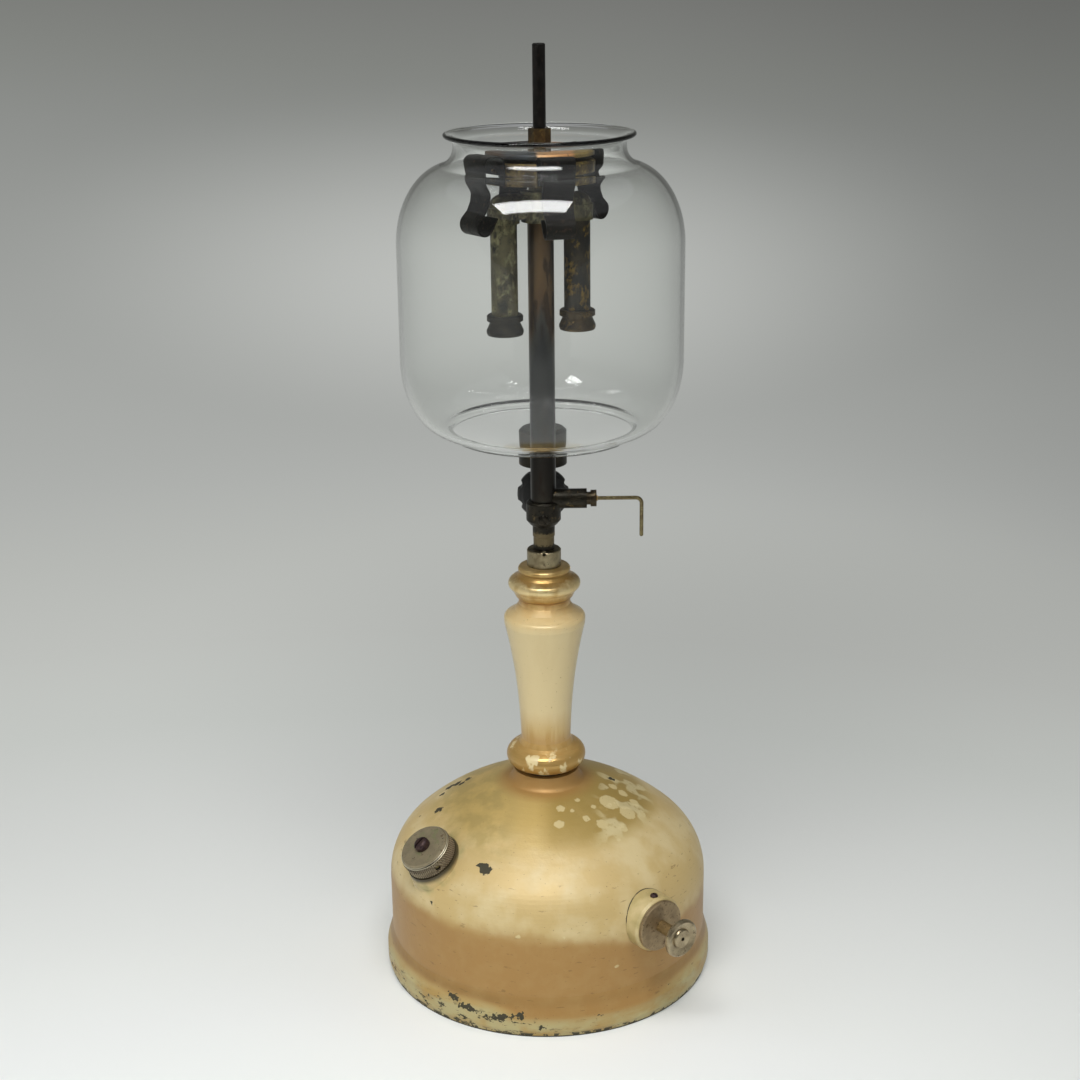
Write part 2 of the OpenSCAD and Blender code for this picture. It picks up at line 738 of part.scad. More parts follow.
module valve_packing_nut() {
    color("darkslategray") at_valve_stem() translate([0, 0, body_r + 3.6]) difference() {
        union() {
            cylinder(r = 3.6, h = 1);
            translate([0, 0, 0.5]) cylinder(r = 5.6, h = gland_len, $fn = 6);
        }
        translate([0, 0, -through]) cylinder(r = valve_stem_r + running, h = gland_len + 3);
    }
}

module valve_stem() {
    stem_end = knob_back + hand_knob_t / 2 - 2;
    color("darkslategray") at_valve_stem() {
        translate([0, 0, valve_cone + 2.6]) cylinder(r = valve_stem_r, h = stem_end - valve_cone - 2.6);
        translate([0, 0, valve_cone + 0.4]) cylinder(r1 = 0.4, r2 = valve_stem_r, h = 2.2);
    }
}

module valve_knob() {
    notch_r = 2.6;
    half_t = hand_knob_t / 2;
    color("dimgray") at_valve_stem() translate([0, 0, knob_back - half_t]) difference() {
        union() {
            turned([[0, 0], [hand_knob_r - 3, 0], [hand_knob_r - 0.8, 1.4], [hand_knob_r, 3],
                [hand_knob_r, hand_knob_t - 3], [hand_knob_r - 0.8, hand_knob_t - 1.4],
                [hand_knob_r - 3, hand_knob_t], [0, hand_knob_t]]);
            translate([0, 0, -6]) cylinder(r = 4.6, h = 7);
        }
        for (k = [0:scallops - 1]) rotate([0, 0, 360 / scallops * (k + 0.5)])
            translate([hand_knob_r + notch_r * 0.35, 0, -through])
                cylinder(r = notch_r, h = hand_knob_t + 2 * through);
        translate([0, 0, hand_knob_t - 1.6]) cylinder(r = 4.4, h = 4);
        translate([0, 0, -8]) cylinder(r = valve_stem_r + 0.02, h = 8 + hand_knob_t - 2);
    }
}

module knob_screw() {
    color("gray") at_valve_stem() translate([0, 0, knob_back + hand_knob_t / 2 - 1.55])
        difference() {
            turned(concat([[0, 0], [3.4, 0]], quarter(1.8, 0.3, 1.6, 1.2, 6), [[0, 1.5]]));
            translate([-4, -0.4, 0.9]) cube([8, 0.8, 2]);
        }
}

module cleaner_packing() {
    color("dimgray") at_crank() translate([0, 0, packing_x + 0.1])
        ring(gland_neck_r - 0.5, shaft_r + running, packing_l - 0.2);
}

module cleaner_gland_nut() {
    flange_x = boss_out + 2;
    color("darkslategray") at_crank() difference() {
        union() {
            translate([0, 0, packing_x + packing_l]) cylinder(r = gland_neck_r - 0.45, h = 2);
            translate([0, 0, boss_out + 0.05]) cylinder(r = gland_neck_r, h = 3);
            translate([0, 0, flange_x]) cylinder(r = gland_head_r, h = 3);
        }
        cylinder(r = shaft_r + running, h = 60);
    }
}

module cleaner_shaft() {
    color("goldenrod") at_crank() union() {
        translate([0, 0, disc_x]) cylinder(r = disc_r, h = disc_t);
        translate([0, 0, disc_x]) cylinder(r = shaft_r, h = boss_out + 5.6 - disc_x);
        translate([crank_throw, 0, -yoke_t]) cylinder(r = pin_r, h = yoke_t + disc_x + 0.5);
    }
}

module cleaner_lever() {
    bend = 3;
    start = boss_out + 5.7;
    color("peru") translate([0, 0, crank_z]) union() {
        translate([start, 0, 0]) rotate([0, 90, 0]) cylinder(r = wire_r, h = lever_out - bend - start);
        translate([lever_out - bend, 0, -bend]) rotate([90, 0, 0])
            rotate_extrude(angle = 90) translate([bend, 0]) circle(r = wire_r, $fn = 32);
        translate([lever_out, 0, -lever_drop]) cylinder(r = wire_r, h = lever_drop - bend);
        translate([lever_out, 0, -lever_drop]) sphere(r = wire_r);
    }
}

module cleaner_needle() {
    pin_z = crank_z - crank_throw;
    yoke_h = slot_h + 2.6;
    thin_z = gen_top - 1.2 - 2 * crank_throw;
    color("silver") union() {
        difference() {
            translate([-yoke_t / 2 - 0.3, -yoke_w / 2, pin_z - slot_h / 2 - 0.9])
                cube([yoke_t, yoke_w, yoke_h + 0.8]);
            translate([-yoke_t - 1, -slot_w / 2, pin_z - slot_h / 2])
                cube([3 * yoke_t, slot_w, slot_h]);
        }
        translate([0, 0, pin_z + slot_h / 2 + 1.6])
            cylinder(r = needle_r, h = thin_z - pin_z - slot_h / 2 - 1.6);
        translate([0, 0, thin_z])
            cylinder(r = needle_tip_r, h = gen_top + tip_h + needle_out - 2 * crank_throw - thin_z);
    }
}

// ---- generator, air tube and burner ----

module generator_tube() {
    color("dimgray") translate([0, 0, gen_seat_z + 0.05]) difference() {
        cylinder(r = generator_r, h = gen_top - gen_seat_z - 0.1);
        translate([0, 0, -through]) cylinder(r = gen_bore, h = 2 * generator_h);
        translate([0, 0, crank_z - gen_seat_z - 0.05]) rotate([0, 90, 0])
            cylinder(r = shaft_r + 0.4, h = 20);
    }
}

module gas_tip() {
    tip_bore = needle_tip_r + running + 0.03;
    color("goldenrod") translate([0, 0, gen_top]) difference() {
        union() {
            translate([0, 0, -3]) cylinder(r = gen_bore - 0.03, h = 3);
            cylinder(r = chamber_r - 0.2, h = 2.4, $fn = 6);
            translate([0, 0, 2.4]) cylinder(r1 = 3.4, r2 = 1.6, h = tip_h - 2.4);
        }
        translate([0, 0, -4]) cylinder(r = needle_r + 0.5, h = 4 + tip_chamber_h);
        cylinder(r = tip_bore, h = tip_h + through);
    }
}

module air_bell() {
    color("dimgray") translate([0, air_back, bell_z]) difference() {
        turned([[0, 0], [bell_r, 0], [bell_r, bell_h - 1.6], [bell_r - 1.6, bell_h], [0, bell_h]]);
        translate([0, 0, -through]) cylinder(r = bell_r - 1.2, h = bell_h - 1.4 + through);
        cylinder(r = air_r + 0.03, h = bell_h + through);
    }
}

module air_tube() {
    color("peru") translate([0, air_back, bell_z + 7])
        ring(air_r, air_r - 0.9, manifold_z - bell_z - 7);
}

module burner_manifold() {
    color("darkolivegreen") difference() {
        union() {
            translate([0, 0, manifold_z - 8]) cylinder(r = hub_r, h = 16);
            translate([0, 0, manifold_z])
                cylinder(r = stud_r + stud_step, h = drum_top - drum_t - manifold_z - 0.05);
            translate([0, 0, manifold_z]) cylinder(r = stud_r, h = plate_top - 0.2 - manifold_z);
            for (s = [-1, 1]) at_mantle(s) {
                translate([0, 0, manifold_z]) rotate([0, -90 * s, 0]) cylinder(r = arm_r, h = mantle_x);
                translate([0, 0, manifold_z]) sphere(r = arm_r);
                translate([0, 0, manifold_z - 8]) cylinder(r = mantle_r + 1.4, h = 8);
            }
            translate([0, air_back, manifold_z]) rotate([90, 0, 0]) cylinder(r = arm_r, h = air_back);
            translate([0, air_back, manifold_z]) sphere(r = arm_r);
            translate([0, air_back, manifold_z - 8]) cylinder(r = air_r + 1.2, h = 8);
        }
        // mixing chamber and gas ways
        translate([0, 0, manifold_z - 9]) cylinder(r = generator_r + seat, h = 3.6);
        translate([0, 0, manifold_z - 8]) cylinder(r = chamber_r, h = 13);
        for (s = [-1, 1]) at_mantle(s) {
            translate([0, 0, manifold_z]) rotate([0, -90 * s, 0]) cylinder(r = 4.4, h = mantle_x);
            translate([0, 0, manifold_z - 9]) cylinder(r = mantle_r + 0.05, h = 6);
            translate([0, 0, manifold_z - 4]) cylinder(r = mantle_r - mantle_wall, h = 4);
        }
        translate([0, air_back, manifold_z]) rotate([90, 0, 0]) cylinder(r = 4.4, h = air_back);
        translate([0, air_back, manifold_z - 9]) cylinder(r = air_r + 0.05, h = 9.1);
        // socket for the post's thread
        translate([0, 0, plate_top - post_in]) cylinder(r = thread_r + 0.03, h = post_in + through);
    }
}

module mantle_tube(s) {
    color("olive") at_mantle(s) translate([0, 0, mantle_bot])
        ring(mantle_r, mantle_r - mantle_wall, mantle_h - 3.1);
}
module mantle_tube_left() { mantle_tube(-1); }
module mantle_tube_right() { mantle_tube(1); }

module mantle_cap(s) {
    waist = mantle_cap_r - 1.7;
    cap_low = mantle_bot - mantle_cap_h + 3;
    color("darkslategray") at_mantle(s) translate([0, 0, cap_low]) difference() {
        turned([[0, 0], [mantle_cap_r - 0.4, 0], [mantle_cap_r, 1], [mantle_cap_r, 2.2],
            [waist, mantle_cap_h - 4], [waist, mantle_cap_h - 3.2],
            [mantle_cap_r - 0.2, mantle_cap_h - 2.9], [mantle_cap_r - 0.2, mantle_cap_h - 0.6],
            [mantle_cap_r - 0.8, mantle_cap_h], [0, mantle_cap_h]]);
        translate([0, 0, -through]) cylinder(r = mantle_r - mantle_wall, h = mantle_cap_h);
        translate([0, 0, mantle_cap_h - 3]) cylinder(r = mantle_r + 0.03, h = 4);
    }
}
module mantle_cap_left() { mantle_cap(-1); }
module mantle_cap_right() { mantle_cap(1); }

// wire screen across the mouth of a cap
module cap_screen(s) {
    mesh_r = mantle_r - mantle_wall - 0.02;
    bar = 0.5;
    pitch = 1.9;
    cap_low = mantle_bot - mantle_cap_h + 3;
    color("gray") at_mantle(s) translate([0, 0, cap_low + 2.4]) union() {
        ring(mesh_r, mesh_r - 0.6, 0.8);
        intersection() {
            cylinder(r = mesh_r - 0.3, h = 0.5);
            union() {
                for (i = [-2:2]) translate([i * pitch - bar / 2, -mesh_r, 0]) cube([bar, 2 * mesh_r, 0.5]);
                for (i = [-2:2]) translate([-mesh_r, i * pitch - bar / 2, 0]) cube([2 * mesh_r, bar, 0.5]);
            }
        }
    }
}
module cap_screen_left() { cap_screen(-1); }
module cap_screen_right() { cap_screen(1); }

module burner_drum() {
    lip = 1.2;
    color("saddlebrown") translate([0, 0, drum_z]) difference() {
        turned([[0, 0], [drum_r, 0], [drum_r, drum_h - 1.2], [drum_r - 1.2, drum_h], [0, drum_h]]);
        translate([0, 0, -through]) cylinder(r = drum_r - drum_t, h = drum_h - drum_t + through);
        cylinder(r = stud_r + 0.05, h = drum_h + through);
        // vent holes through the drum's top, between the clips
        for (a = clip_angles) rotate([0, 0, a + clip_step / 2])
            translate([drum_r * 0.66, 0, 0]) cylinder(r = 3.4, h = drum_h + lip);
    }
}

module spacer_ring() {
    color("darkgoldenrod") translate([0, 0, drum_top]) ring(spacer_r, stud_r + 0.05, spacer_h);
}

module heat_plate() {
    color("sandybrown") translate([0, 0, plate_z]) difference() {
        turned([[0, 0], [plate_r - 1.4, 0], [plate_r - 1.4, -0.5], [plate_r, -0.5],
            [plate_r, plate_t - 0.8], [plate_r - 0.8, plate_t], [0, plate_t]]);
        translate([0, 0, -through]) cylinder(r = stud_r + 0.05, h = plate_t + 2 * through);
    }
}

module post_nut() {
    color("saddlebrown") translate([0, 0, plate_top]) difference() {
        intersection() {
            cylinder(r = nut_af / sqrt(3), h = nut_h, $fn = 6);
            turned([[0, 0], [nut_af / 2 + 0.9, 0], [nut_af / 2 + 0.9, nut_h - 0.7],
                [nut_af / 2 + 0.1, nut_h], [0, nut_h]]);
        }
        translate([0, 0, -through]) cylinder(r = thread_r + 0.03, h = nut_h + 2 * through);
    }
}

module shade_post() {
    chamfer = 0.5;
    shank_top = nut_top + 0.3;
    color("black") turned([[0, plate_top - post_in + 0.5], [thread_r, plate_top - post_in + 0.5],
        [thread_r, shank_top], [post_r, shank_top], [post_r, post_top - chamfer],
        [post_r - chamfer, post_top], [0, post_top]]);
}

// ---- spring clips ----

// an eased step from one point to another, used between a clip's face, waist and curl
function eased(a, b, steps = 6) =
    [for (i = [1:steps]) let (t = i / steps)
        [a[0] + (b[0] - a[0]) * (1 - cos(180 * t)) / 2, a[1] + (b[1] - a[1]) * t]];

// centre line of a clip: leg, flat top, face, waist and curl
function clip_line() = let (
    face_low = bend_z - bend_r * 1.7,
    curl_c = curl_out_r - curl_r,
    curl_last = [curl_c + curl_r * cos(-150), curl_z + curl_r * sin(-150)])
    concat(
        [[leg_r, drum_z + 0.6]],
        arc(leg_r + bend_r, bend_z, bend_r, 180, 90, 6),
        arc(face_r - bend_r, bend_z, bend_r, 90, 0, 6),
        [[face_r, face_low]],
        eased([face_r, face_low], [clip_waist_r, clip_waist_z]),
        [[clip_waist_r + curl_r * 0.16, clip_waist_z - curl_r * 0.8],
         [clip_waist_r + curl_r * 0.62, clip_waist_z - curl_r * 1.7]],
        arc(curl_c, curl_z, curl_r, 42, -150, 14),
        [curl_last + curl_end * [cos(120), sin(120)]]);

module globe_clip(index) {
    low_z = curl_z - curl_r - clip_t;
    high_z = clip_top + clip_t;
    color("black") rotate([0, 0, clip_angles[index]]) intersection() {
        translate([0, clip_w / 2, 0]) rotate([90, 0, 0]) linear_extrude(clip_w)
            polygon(strip(clip_line(), clip_t));
        rotate([90, 0, 90]) linear_extrude(globe_r)
            polygon([[-clip_low_w / 2, low_z], [clip_low_w / 2, low_z],
                [clip_w / 2, high_z], [-clip_w / 2, high_z]]);
    }
}
module globe_clip_rear_right() { globe_clip(0); }
module globe_clip_rear() { globe_clip(1); }
module globe_clip_left() { globe_clip(2); }
module globe_clip_front() { globe_clip(3); }

module clip_rivets() {
    rivet_z = drum_z + drum_h * 0.43;
    color("peru") for (a = clip_angles) rotate([0, 0, a])
        translate([leg_r + clip_t / 2, 0, rivet_z]) rotate([0, 90, 0])
            turned(concat([[0, 0], [rivet_r, 0]],
                quarter(rivet_r / 2, 0.2, rivet_r / 2, rivet_r * 0.42, 5),
                [[0, 0.2 + rivet_r * 0.42]]));
}

// ---- globe ----

// outline of one skin of the globe, inset by the wall for the inner one
function globe_skin(inset) = let (
    foot = globe_foot_r - inset,
    body = globe_r - inset,
    neck = globe_neck_r - inset,
    low_z = globe_z + globe_low_h,
    high_z = globe_top - globe_high_drop,
    crease_z = globe_top - 14.6)
    concat(
        [[foot, globe_z], [foot, globe_z + 2.2]],
        backwards([for (p = quarter(foot, 0, body - foot, low_z - globe_z - 3)) [p[0], low_z - p[1]]]),
        quarter(neck + 1.2, high_z, body - neck - 1.2, crease_z - high_z),
        [[neck, crease_z + 1.6], [neck, globe_top - 5]]);

module glass_globe() {
    bead = 1.5;
    color("lightcyan", 0.35) turned(concat(globe_skin(0),
        [[bead_out_r - 2.6, globe_top - bead * 2]],
        arc(bead_out_r - bead, globe_top - bead, bead, -90, 120, 8),
        [[globe_neck_r - glass + 1.6, globe_top - bead], [globe_neck_r - glass, globe_top - 4]],
        backwards(globe_skin(glass))));
}

tank_shell();
base_plate();
filler_collar();
pump_collar();
collar_screw();
pump_cylinder();
pump_cap();
check_valve();
column_washer();
stem_column();
riser_pipe();
pickup_tube();
pickup_strainer();
collar_nut();
valve_body();
valve_plug_screw();
valve_packing_nut();
valve_packing();
cleaner_gland_nut();
cleaner_packing();
generator_tube();
gas_tip();
air_bell();
air_tube();
burner_manifold();
mantle_tube_left();
mantle_tube_right();
mantle_cap_left();
mantle_cap_right();
cap_screen_left();
cap_screen_right();
burner_drum();
spacer_ring();
heat_plate();
post_nut();
shade_post();
globe_clip_rear_right();
globe_clip_rear();
globe_clip_left();
globe_clip_front();
clip_rivets();
glass_globe();
filler_gasket();
filler_cap();
relief_screw();
air_stem();
pump_rod();
pump_knob();
pump_cup();
cup_retainer();
valve_stem();
valve_knob();
knob_screw();
cleaner_shaft();
cleaner_lever();
cleaner_needle();
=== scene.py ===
import math
import bpy
import bmesh
from mathutils import Matrix, Vector


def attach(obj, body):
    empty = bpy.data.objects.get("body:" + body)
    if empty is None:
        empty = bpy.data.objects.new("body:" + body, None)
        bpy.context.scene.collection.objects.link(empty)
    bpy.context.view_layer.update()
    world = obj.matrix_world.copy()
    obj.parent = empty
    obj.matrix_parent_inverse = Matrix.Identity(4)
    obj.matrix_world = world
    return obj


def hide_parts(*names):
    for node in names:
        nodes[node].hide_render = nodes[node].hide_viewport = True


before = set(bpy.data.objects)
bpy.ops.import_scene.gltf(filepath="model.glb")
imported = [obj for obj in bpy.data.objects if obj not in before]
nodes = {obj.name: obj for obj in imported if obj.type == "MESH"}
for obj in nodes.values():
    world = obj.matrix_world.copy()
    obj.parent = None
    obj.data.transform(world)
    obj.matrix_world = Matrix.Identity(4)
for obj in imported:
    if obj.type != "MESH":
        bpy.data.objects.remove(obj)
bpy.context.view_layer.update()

mm = 0.001
print("frame loaded,", len(nodes), "nodes")


# small helpers

def toLinear(hexText):
    # an sRGB colour as it is written, in the linear values that Blender wants
    parts = [int(hexText[i:i + 2], 16) / 255 for i in (1, 3, 5)]
    return tuple(c / 12.92 if c <= 0.04045 else ((c + 0.055) / 1.055) ** 2.4 for c in parts) + (1.0,)


def addNode(tree, kind, inputs=None, stops=None, **settings):
    # one node with its settings, its values and links, and the stops of a colour ramp
    made = tree.nodes.new(kind)
    for name, value in settings.items():
        setattr(made, name, value)
    for key, value in (inputs or {}).items():
        if isinstance(value, str) and value.startswith("#"):
            value = toLinear(value)
        if isinstance(value, bpy.types.NodeSocket):
            tree.links.new(value, made.inputs[key])
        else:
            made.inputs[key].default_value = value
    if stops:
        ramp = made.color_ramp.elements
        while len(ramp) < len(stops):
            ramp.new(0.5)
        for element, (place, shade) in zip(ramp, stops):
            element.position = place
            element.color = toLinear(shade) if isinstance(shade, str) else (shade, shade, shade, 1)
    return made


def startMaterial(name, roughness, metallic=0.0):
    # a new surface, with its place on the lamp in millimetres
    made = bpy.data.materials.new(name)
    made.use_nodes = True
    tree = made.node_tree
    shader = tree.nodes["Principled BSDF"]
    shader.inputs["Roughness"].default_value = roughness
    shader.inputs["Metallic"].default_value = metallic
    place = addNode(tree, "ShaderNodeTexCoord").outputs["Object"]
    at = addNode(tree, "ShaderNodeVectorMath", {0: place, "Scale": 1000.0}, operation="SCALE").outputs[0]
    return made, tree, shader, at


def patches(tree, at, size, low, high, seed=0, stretch=(1, 1, 1), detail=4.0, rough=0.55):
    # mottled mask from 0 to 1, with patches of about that many mm
    moved = addNode(tree, "ShaderNodeMapping", {"Vector": at,
                                                "Location": (seed * 37.1, seed * 11.3, seed * 5.7),
                                                "Scale": stretch}).outputs[0]
    cloud = addNode(tree, "ShaderNodeTexNoise", {"Vector": moved, "Scale": 1.0 / size, "Detail": detail,
                                                 "Roughness": rough}).outputs[0]
    return addNode(tree, "ShaderNodeMapRange", {"Value": cloud, "From Min": low, "From Max": high}).outputs[0]


def band(tree, value, start, end):
    # 0 at start, 1 at end, and level outside
    return addNode(tree, "ShaderNodeMapRange", {"Value": value, "From Min": start, "From Max": end},
                   interpolation_type="SMOOTHSTEP").outputs[0]


def both(tree, *masks):
    # where all of the masks are, each of them a mask or a share from 0 to 1
    result = masks[0]
    for mask in masks[1:]:
        result = addNode(tree, "ShaderNodeMath", {0: result, 1: mask}, operation="MULTIPLY").outputs[0]
    return result


def either(tree, *masks):
    # where any of the masks is
    result = masks[0]
    for mask in masks[1:]:
        result = addNode(tree, "ShaderNodeMath", {0: result, 1: mask}, operation="MAXIMUM").outputs[0]
    return result


def coats(tree, first, *layers):
    # colours laid over each other, each through its mask
    colour = first
    for mask, top in layers:
        colour = addNode(tree, "ShaderNodeMix", {0: mask, 6: colour, 7: top}, data_type="RGBA").outputs[2]
    return colour


def levels(tree, first, *layers):
    value = first
    for mask, top in layers:
        value = addNode(tree, "ShaderNodeMix", {0: mask, 2: value, 3: top}, data_type="FLOAT").outputs[0]
    return value


def relief(tree, shader, height, depth, strength=1.0):
    # a bump whose full height is depth, in mm
    bump = addNode(tree, "ShaderNodeBump", {"Height": height, "Distance": depth * mm, "Strength": strength})
    tree.links.new(bump.outputs[0], shader.inputs["Normal"])


def spots(tree, at, places, edge=0.5, shift=5.0, squeeze=(1, 1, 1)):
    # a mask that is 1 within each place, (x, y, z, radius) in mm, with a ragged edge
    shake = addNode(tree, "ShaderNodeTexNoise", {"Vector": at, "Scale": 0.45, "Detail": 3.0}).outputs[1]
    away = addNode(tree, "ShaderNodeVectorMath", {0: shake, 1: (0.5, 0.5, 0.5)},
                   operation="SUBTRACT").outputs[0]
    ragged = addNode(tree, "ShaderNodeVectorMath", {0: away, "Scale": shift}, operation="SCALE").outputs[0]
    moved = addNode(tree, "ShaderNodeVectorMath", {0: at, 1: ragged}, operation="ADD").outputs[0]
    moved = addNode(tree, "ShaderNodeVectorMath", {0: moved, 1: squeeze}, operation="MULTIPLY").outputs[0]
    masks = []
    for x, y, z, radius in places:
        middle = (x * squeeze[0], y * squeeze[1], z * squeeze[2])
        far = addNode(tree, "ShaderNodeVectorMath", {0: moved, 1: middle}, operation="DISTANCE").outputs[1]
        masks.append(addNode(tree, "ShaderNodeMapRange", {"Value": far, "From Min": radius + edge,
                                                          "From Max": radius}).outputs[0])
    return either(tree, *masks)


def paint(nodeNames, material):
    for name in nodeNames:
        for slot in nodes[name].material_slots:
            slot.material = material


def keepPiece(name, mesh, material, body):
    piece = bpy.data.objects.new(name, mesh)
    bpy.context.collection.objects.link(piece)
    if not mesh.materials:
        mesh.materials.append(material)
    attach(piece, body)
    return piece


def turnOutline(points, turns=128, closed=True, sharp=40):
    # a lathe-turned mesh round Z from (radius, height) points in mm
    mesh = bpy.data.meshes.new("turned")
    work = bmesh.new()
    rings = []
    for radius, height in points:
        if radius < 1e-6:
            rings.append([work.verts.new((0, 0, height * mm))])
            continue
        rings.append([work.verts.new((radius * mm * math.cos(2 * math.pi * k / turns),
                                      radius * mm * math.sin(2 * math.pi * k / turns), height * mm))
                      for k in range(turns)])
    pairs = list(zip(rings, rings[1:])) + ([(rings[-1], rings[0])] if closed else [])
    for low, high in pairs:
        if len(low) == 1 and len(high) == 1:
            continue
        for k in range(turns):
            n = (k + 1) % turns
            corners = [low[k % len(low)], low[n % len(low)], high[n % len(high)], high[k % len(high)]]
            work.faces.new(list(dict.fromkeys(corners)))
    bmesh.ops.recalc_face_normals(work, faces=work.faces)
    work.to_mesh(mesh)
    work.free()
    mesh.polygons.foreach_set("use_smooth", [True] * len(mesh.polygons))
    mesh.set_sharp_from_angle(angle=math.radians(sharp))
    return mesh


# camera, as the photograph was taken

view = {"place": (-2.0, -919.0, 551.0), "down": 18.65, "roll": -0.66, "lens": 62.3}
cameraData = bpy.data.cameras.new("viewCamera")
cameraData.lens = view["lens"]
cameraData.sensor_width = 36
cameraData.clip_start = 0.01
camera = bpy.data.objects.new("viewCamera", cameraData)
bpy.context.collection.objects.link(camera)
camera.matrix_world = (Matrix.Translation(Vector(view["place"]) * mm)
                       @ Matrix.Rotation(math.radians(90 - view["down"]), 4, "X")
                       @ Matrix.Rotation(math.radians(view["roll"]), 4, "Z"))
bpy.context.scene.camera = camera
print("camera set")


# materials

# colours that a user would change, as they look in plain light; the crease and the deep gold also carry painted
# shade
tones = {
    "font": {"bronze": "#b09258", "pale": "#c3aa74", "bleached": "#cbb88a", "wall": "#a57f48",
             "crown": "#c3a766",
             "neck": "#a9824a", "olive": "#a9945a", "oliveDeep": "#a08748", "flange": "#a88a4e",
             "flangeGreen": "#b0a476", "crease": "#93713e",
             "splash": "#c9b98a", "haze": "#bda36c", "scuff": "#7a6038", "bare": "#403c2c"},
    "column": {"cream": "#d2bf92", "gold": "#b49255", "deepGold": "#8c6f36", "run": "#cfbd8f"},
}

# centre line of the filler, as the CAD has it, in mm, and how its cap is turned and tilted, in degrees
filler = {"at": (-59.438, -42.553, 78.64), "along": (-0.44284, -0.31704, 0.83867), "turn": 215.6, "tilt": 33}


def alongAxis(tree, at, line):
    # distance along a centre line, and distance from it, in mm
    off = addNode(tree, "ShaderNodeVectorMath", {0: at, 1: line["at"]}, operation="SUBTRACT").outputs[0]
    along = addNode(tree, "ShaderNodeVectorMath", {0: off, 1: line["along"]},
                    operation="DOT_PRODUCT").outputs[1]
    part = addNode(tree, "ShaderNodeVectorMath", {0: line["along"], "Scale": along},
                   operation="SCALE").outputs[0]
    rest = addNode(tree, "ShaderNodeVectorMath", {0: off, 1: part}, operation="SUBTRACT").outputs[0]
    return along, addNode(tree, "ShaderNodeVectorMath", {0: rest}, operation="LENGTH").outputs[1]


# single marks on the font, (x, y, z, radius) in mm
fontMarks = {
    "cream": [(7.2, -31.7, 102.1, 2.0), (6.4, -41.8, 98.2, 2.4), (16.2, -24.2, 103.2, 1.2),
              (20.6, -36.2, 98.5, 1.8), (29.1, -37.6, 95.8, 3.0), (39.8, -35.9, 92.5, 2.4),
              (42.9, -23.3, 95.1, 4.4), (33.3, -19.9, 99.7, 5.2), (36.0, -3.5, 100.8, 2.4),
              (41.1, -7.0, 98.5, 2.6), (47.2, -12.1, 95.2, 2.6), (51.0, -19.5, 91.9, 2.0),
              (37.4, -44.1, 90.0, 1.0), (24.8, -26.9, 100.6, 1.2), (13.3, -32.3, 101.2, 0.9),
              (-15.6, -84.1, 56.6, 0.8), (8.1, -85.2, 56.3, 0.5), (34.9, -78.5, 35.6, 0.8)],
    "chips": [(-32.4, -60.2, 82.5, 3.1), (-34.4, -57.9, 83.4, 1.6), (-30.2, -61.4, 82.8, 1.4),
              (-58.9, -5.7, 89.1, 2.0), (-57.2, -7.6, 90.0, 1.3), (-69.1, 1.6, 82.0, 0.7),
              (35.4, 6.0, 100.9, 2.0), (-49.3, 18.0, 93.4, 2.6), (-43.8, 17.0, 96.6, 2.2),
              (-53.8, 19.0, 90.8, 2.6), (-57.7, 13.0, 89.1, 1.6), (-47.0, 14.0, 95.8, 1.6),
              (-60.5, -58.5, 62.5, 0.8), (-52.0, -63.5, 63.5, 0.6)],
    "foot": [(-50.8, -71.6, 15.1, 1.6), (-48.3, -73.3, 14.4, 1.2), (-41.5, -78.3, 12.2, 1.9),
             (-44.6, -76.7, 11.9, 1.4), (-38.8, -80.0, 11.0, 1.0), (-24.3, -85.6, 10.5, 1.9),
             (-28.7, -84.2, 10.1, 1.4), (-33.5, -82.4, 9.4, 0.8), (-19.5, -86.6, 11.4, 1.0),
             (-15.2, -87.3, 12.3, 1.4), (-4.3, -88.9, 5.9, 0.7), (25.8, -85.2, 10.7, 0.6),
             (11.7, -87.8, 2.6, 0.9), (-63.6, -62.3, 10.0, 0.8), (-57.5, -67.2, 12.0, 0.7),
             (63.5, -61.1, 14.0, 0.5)],
}


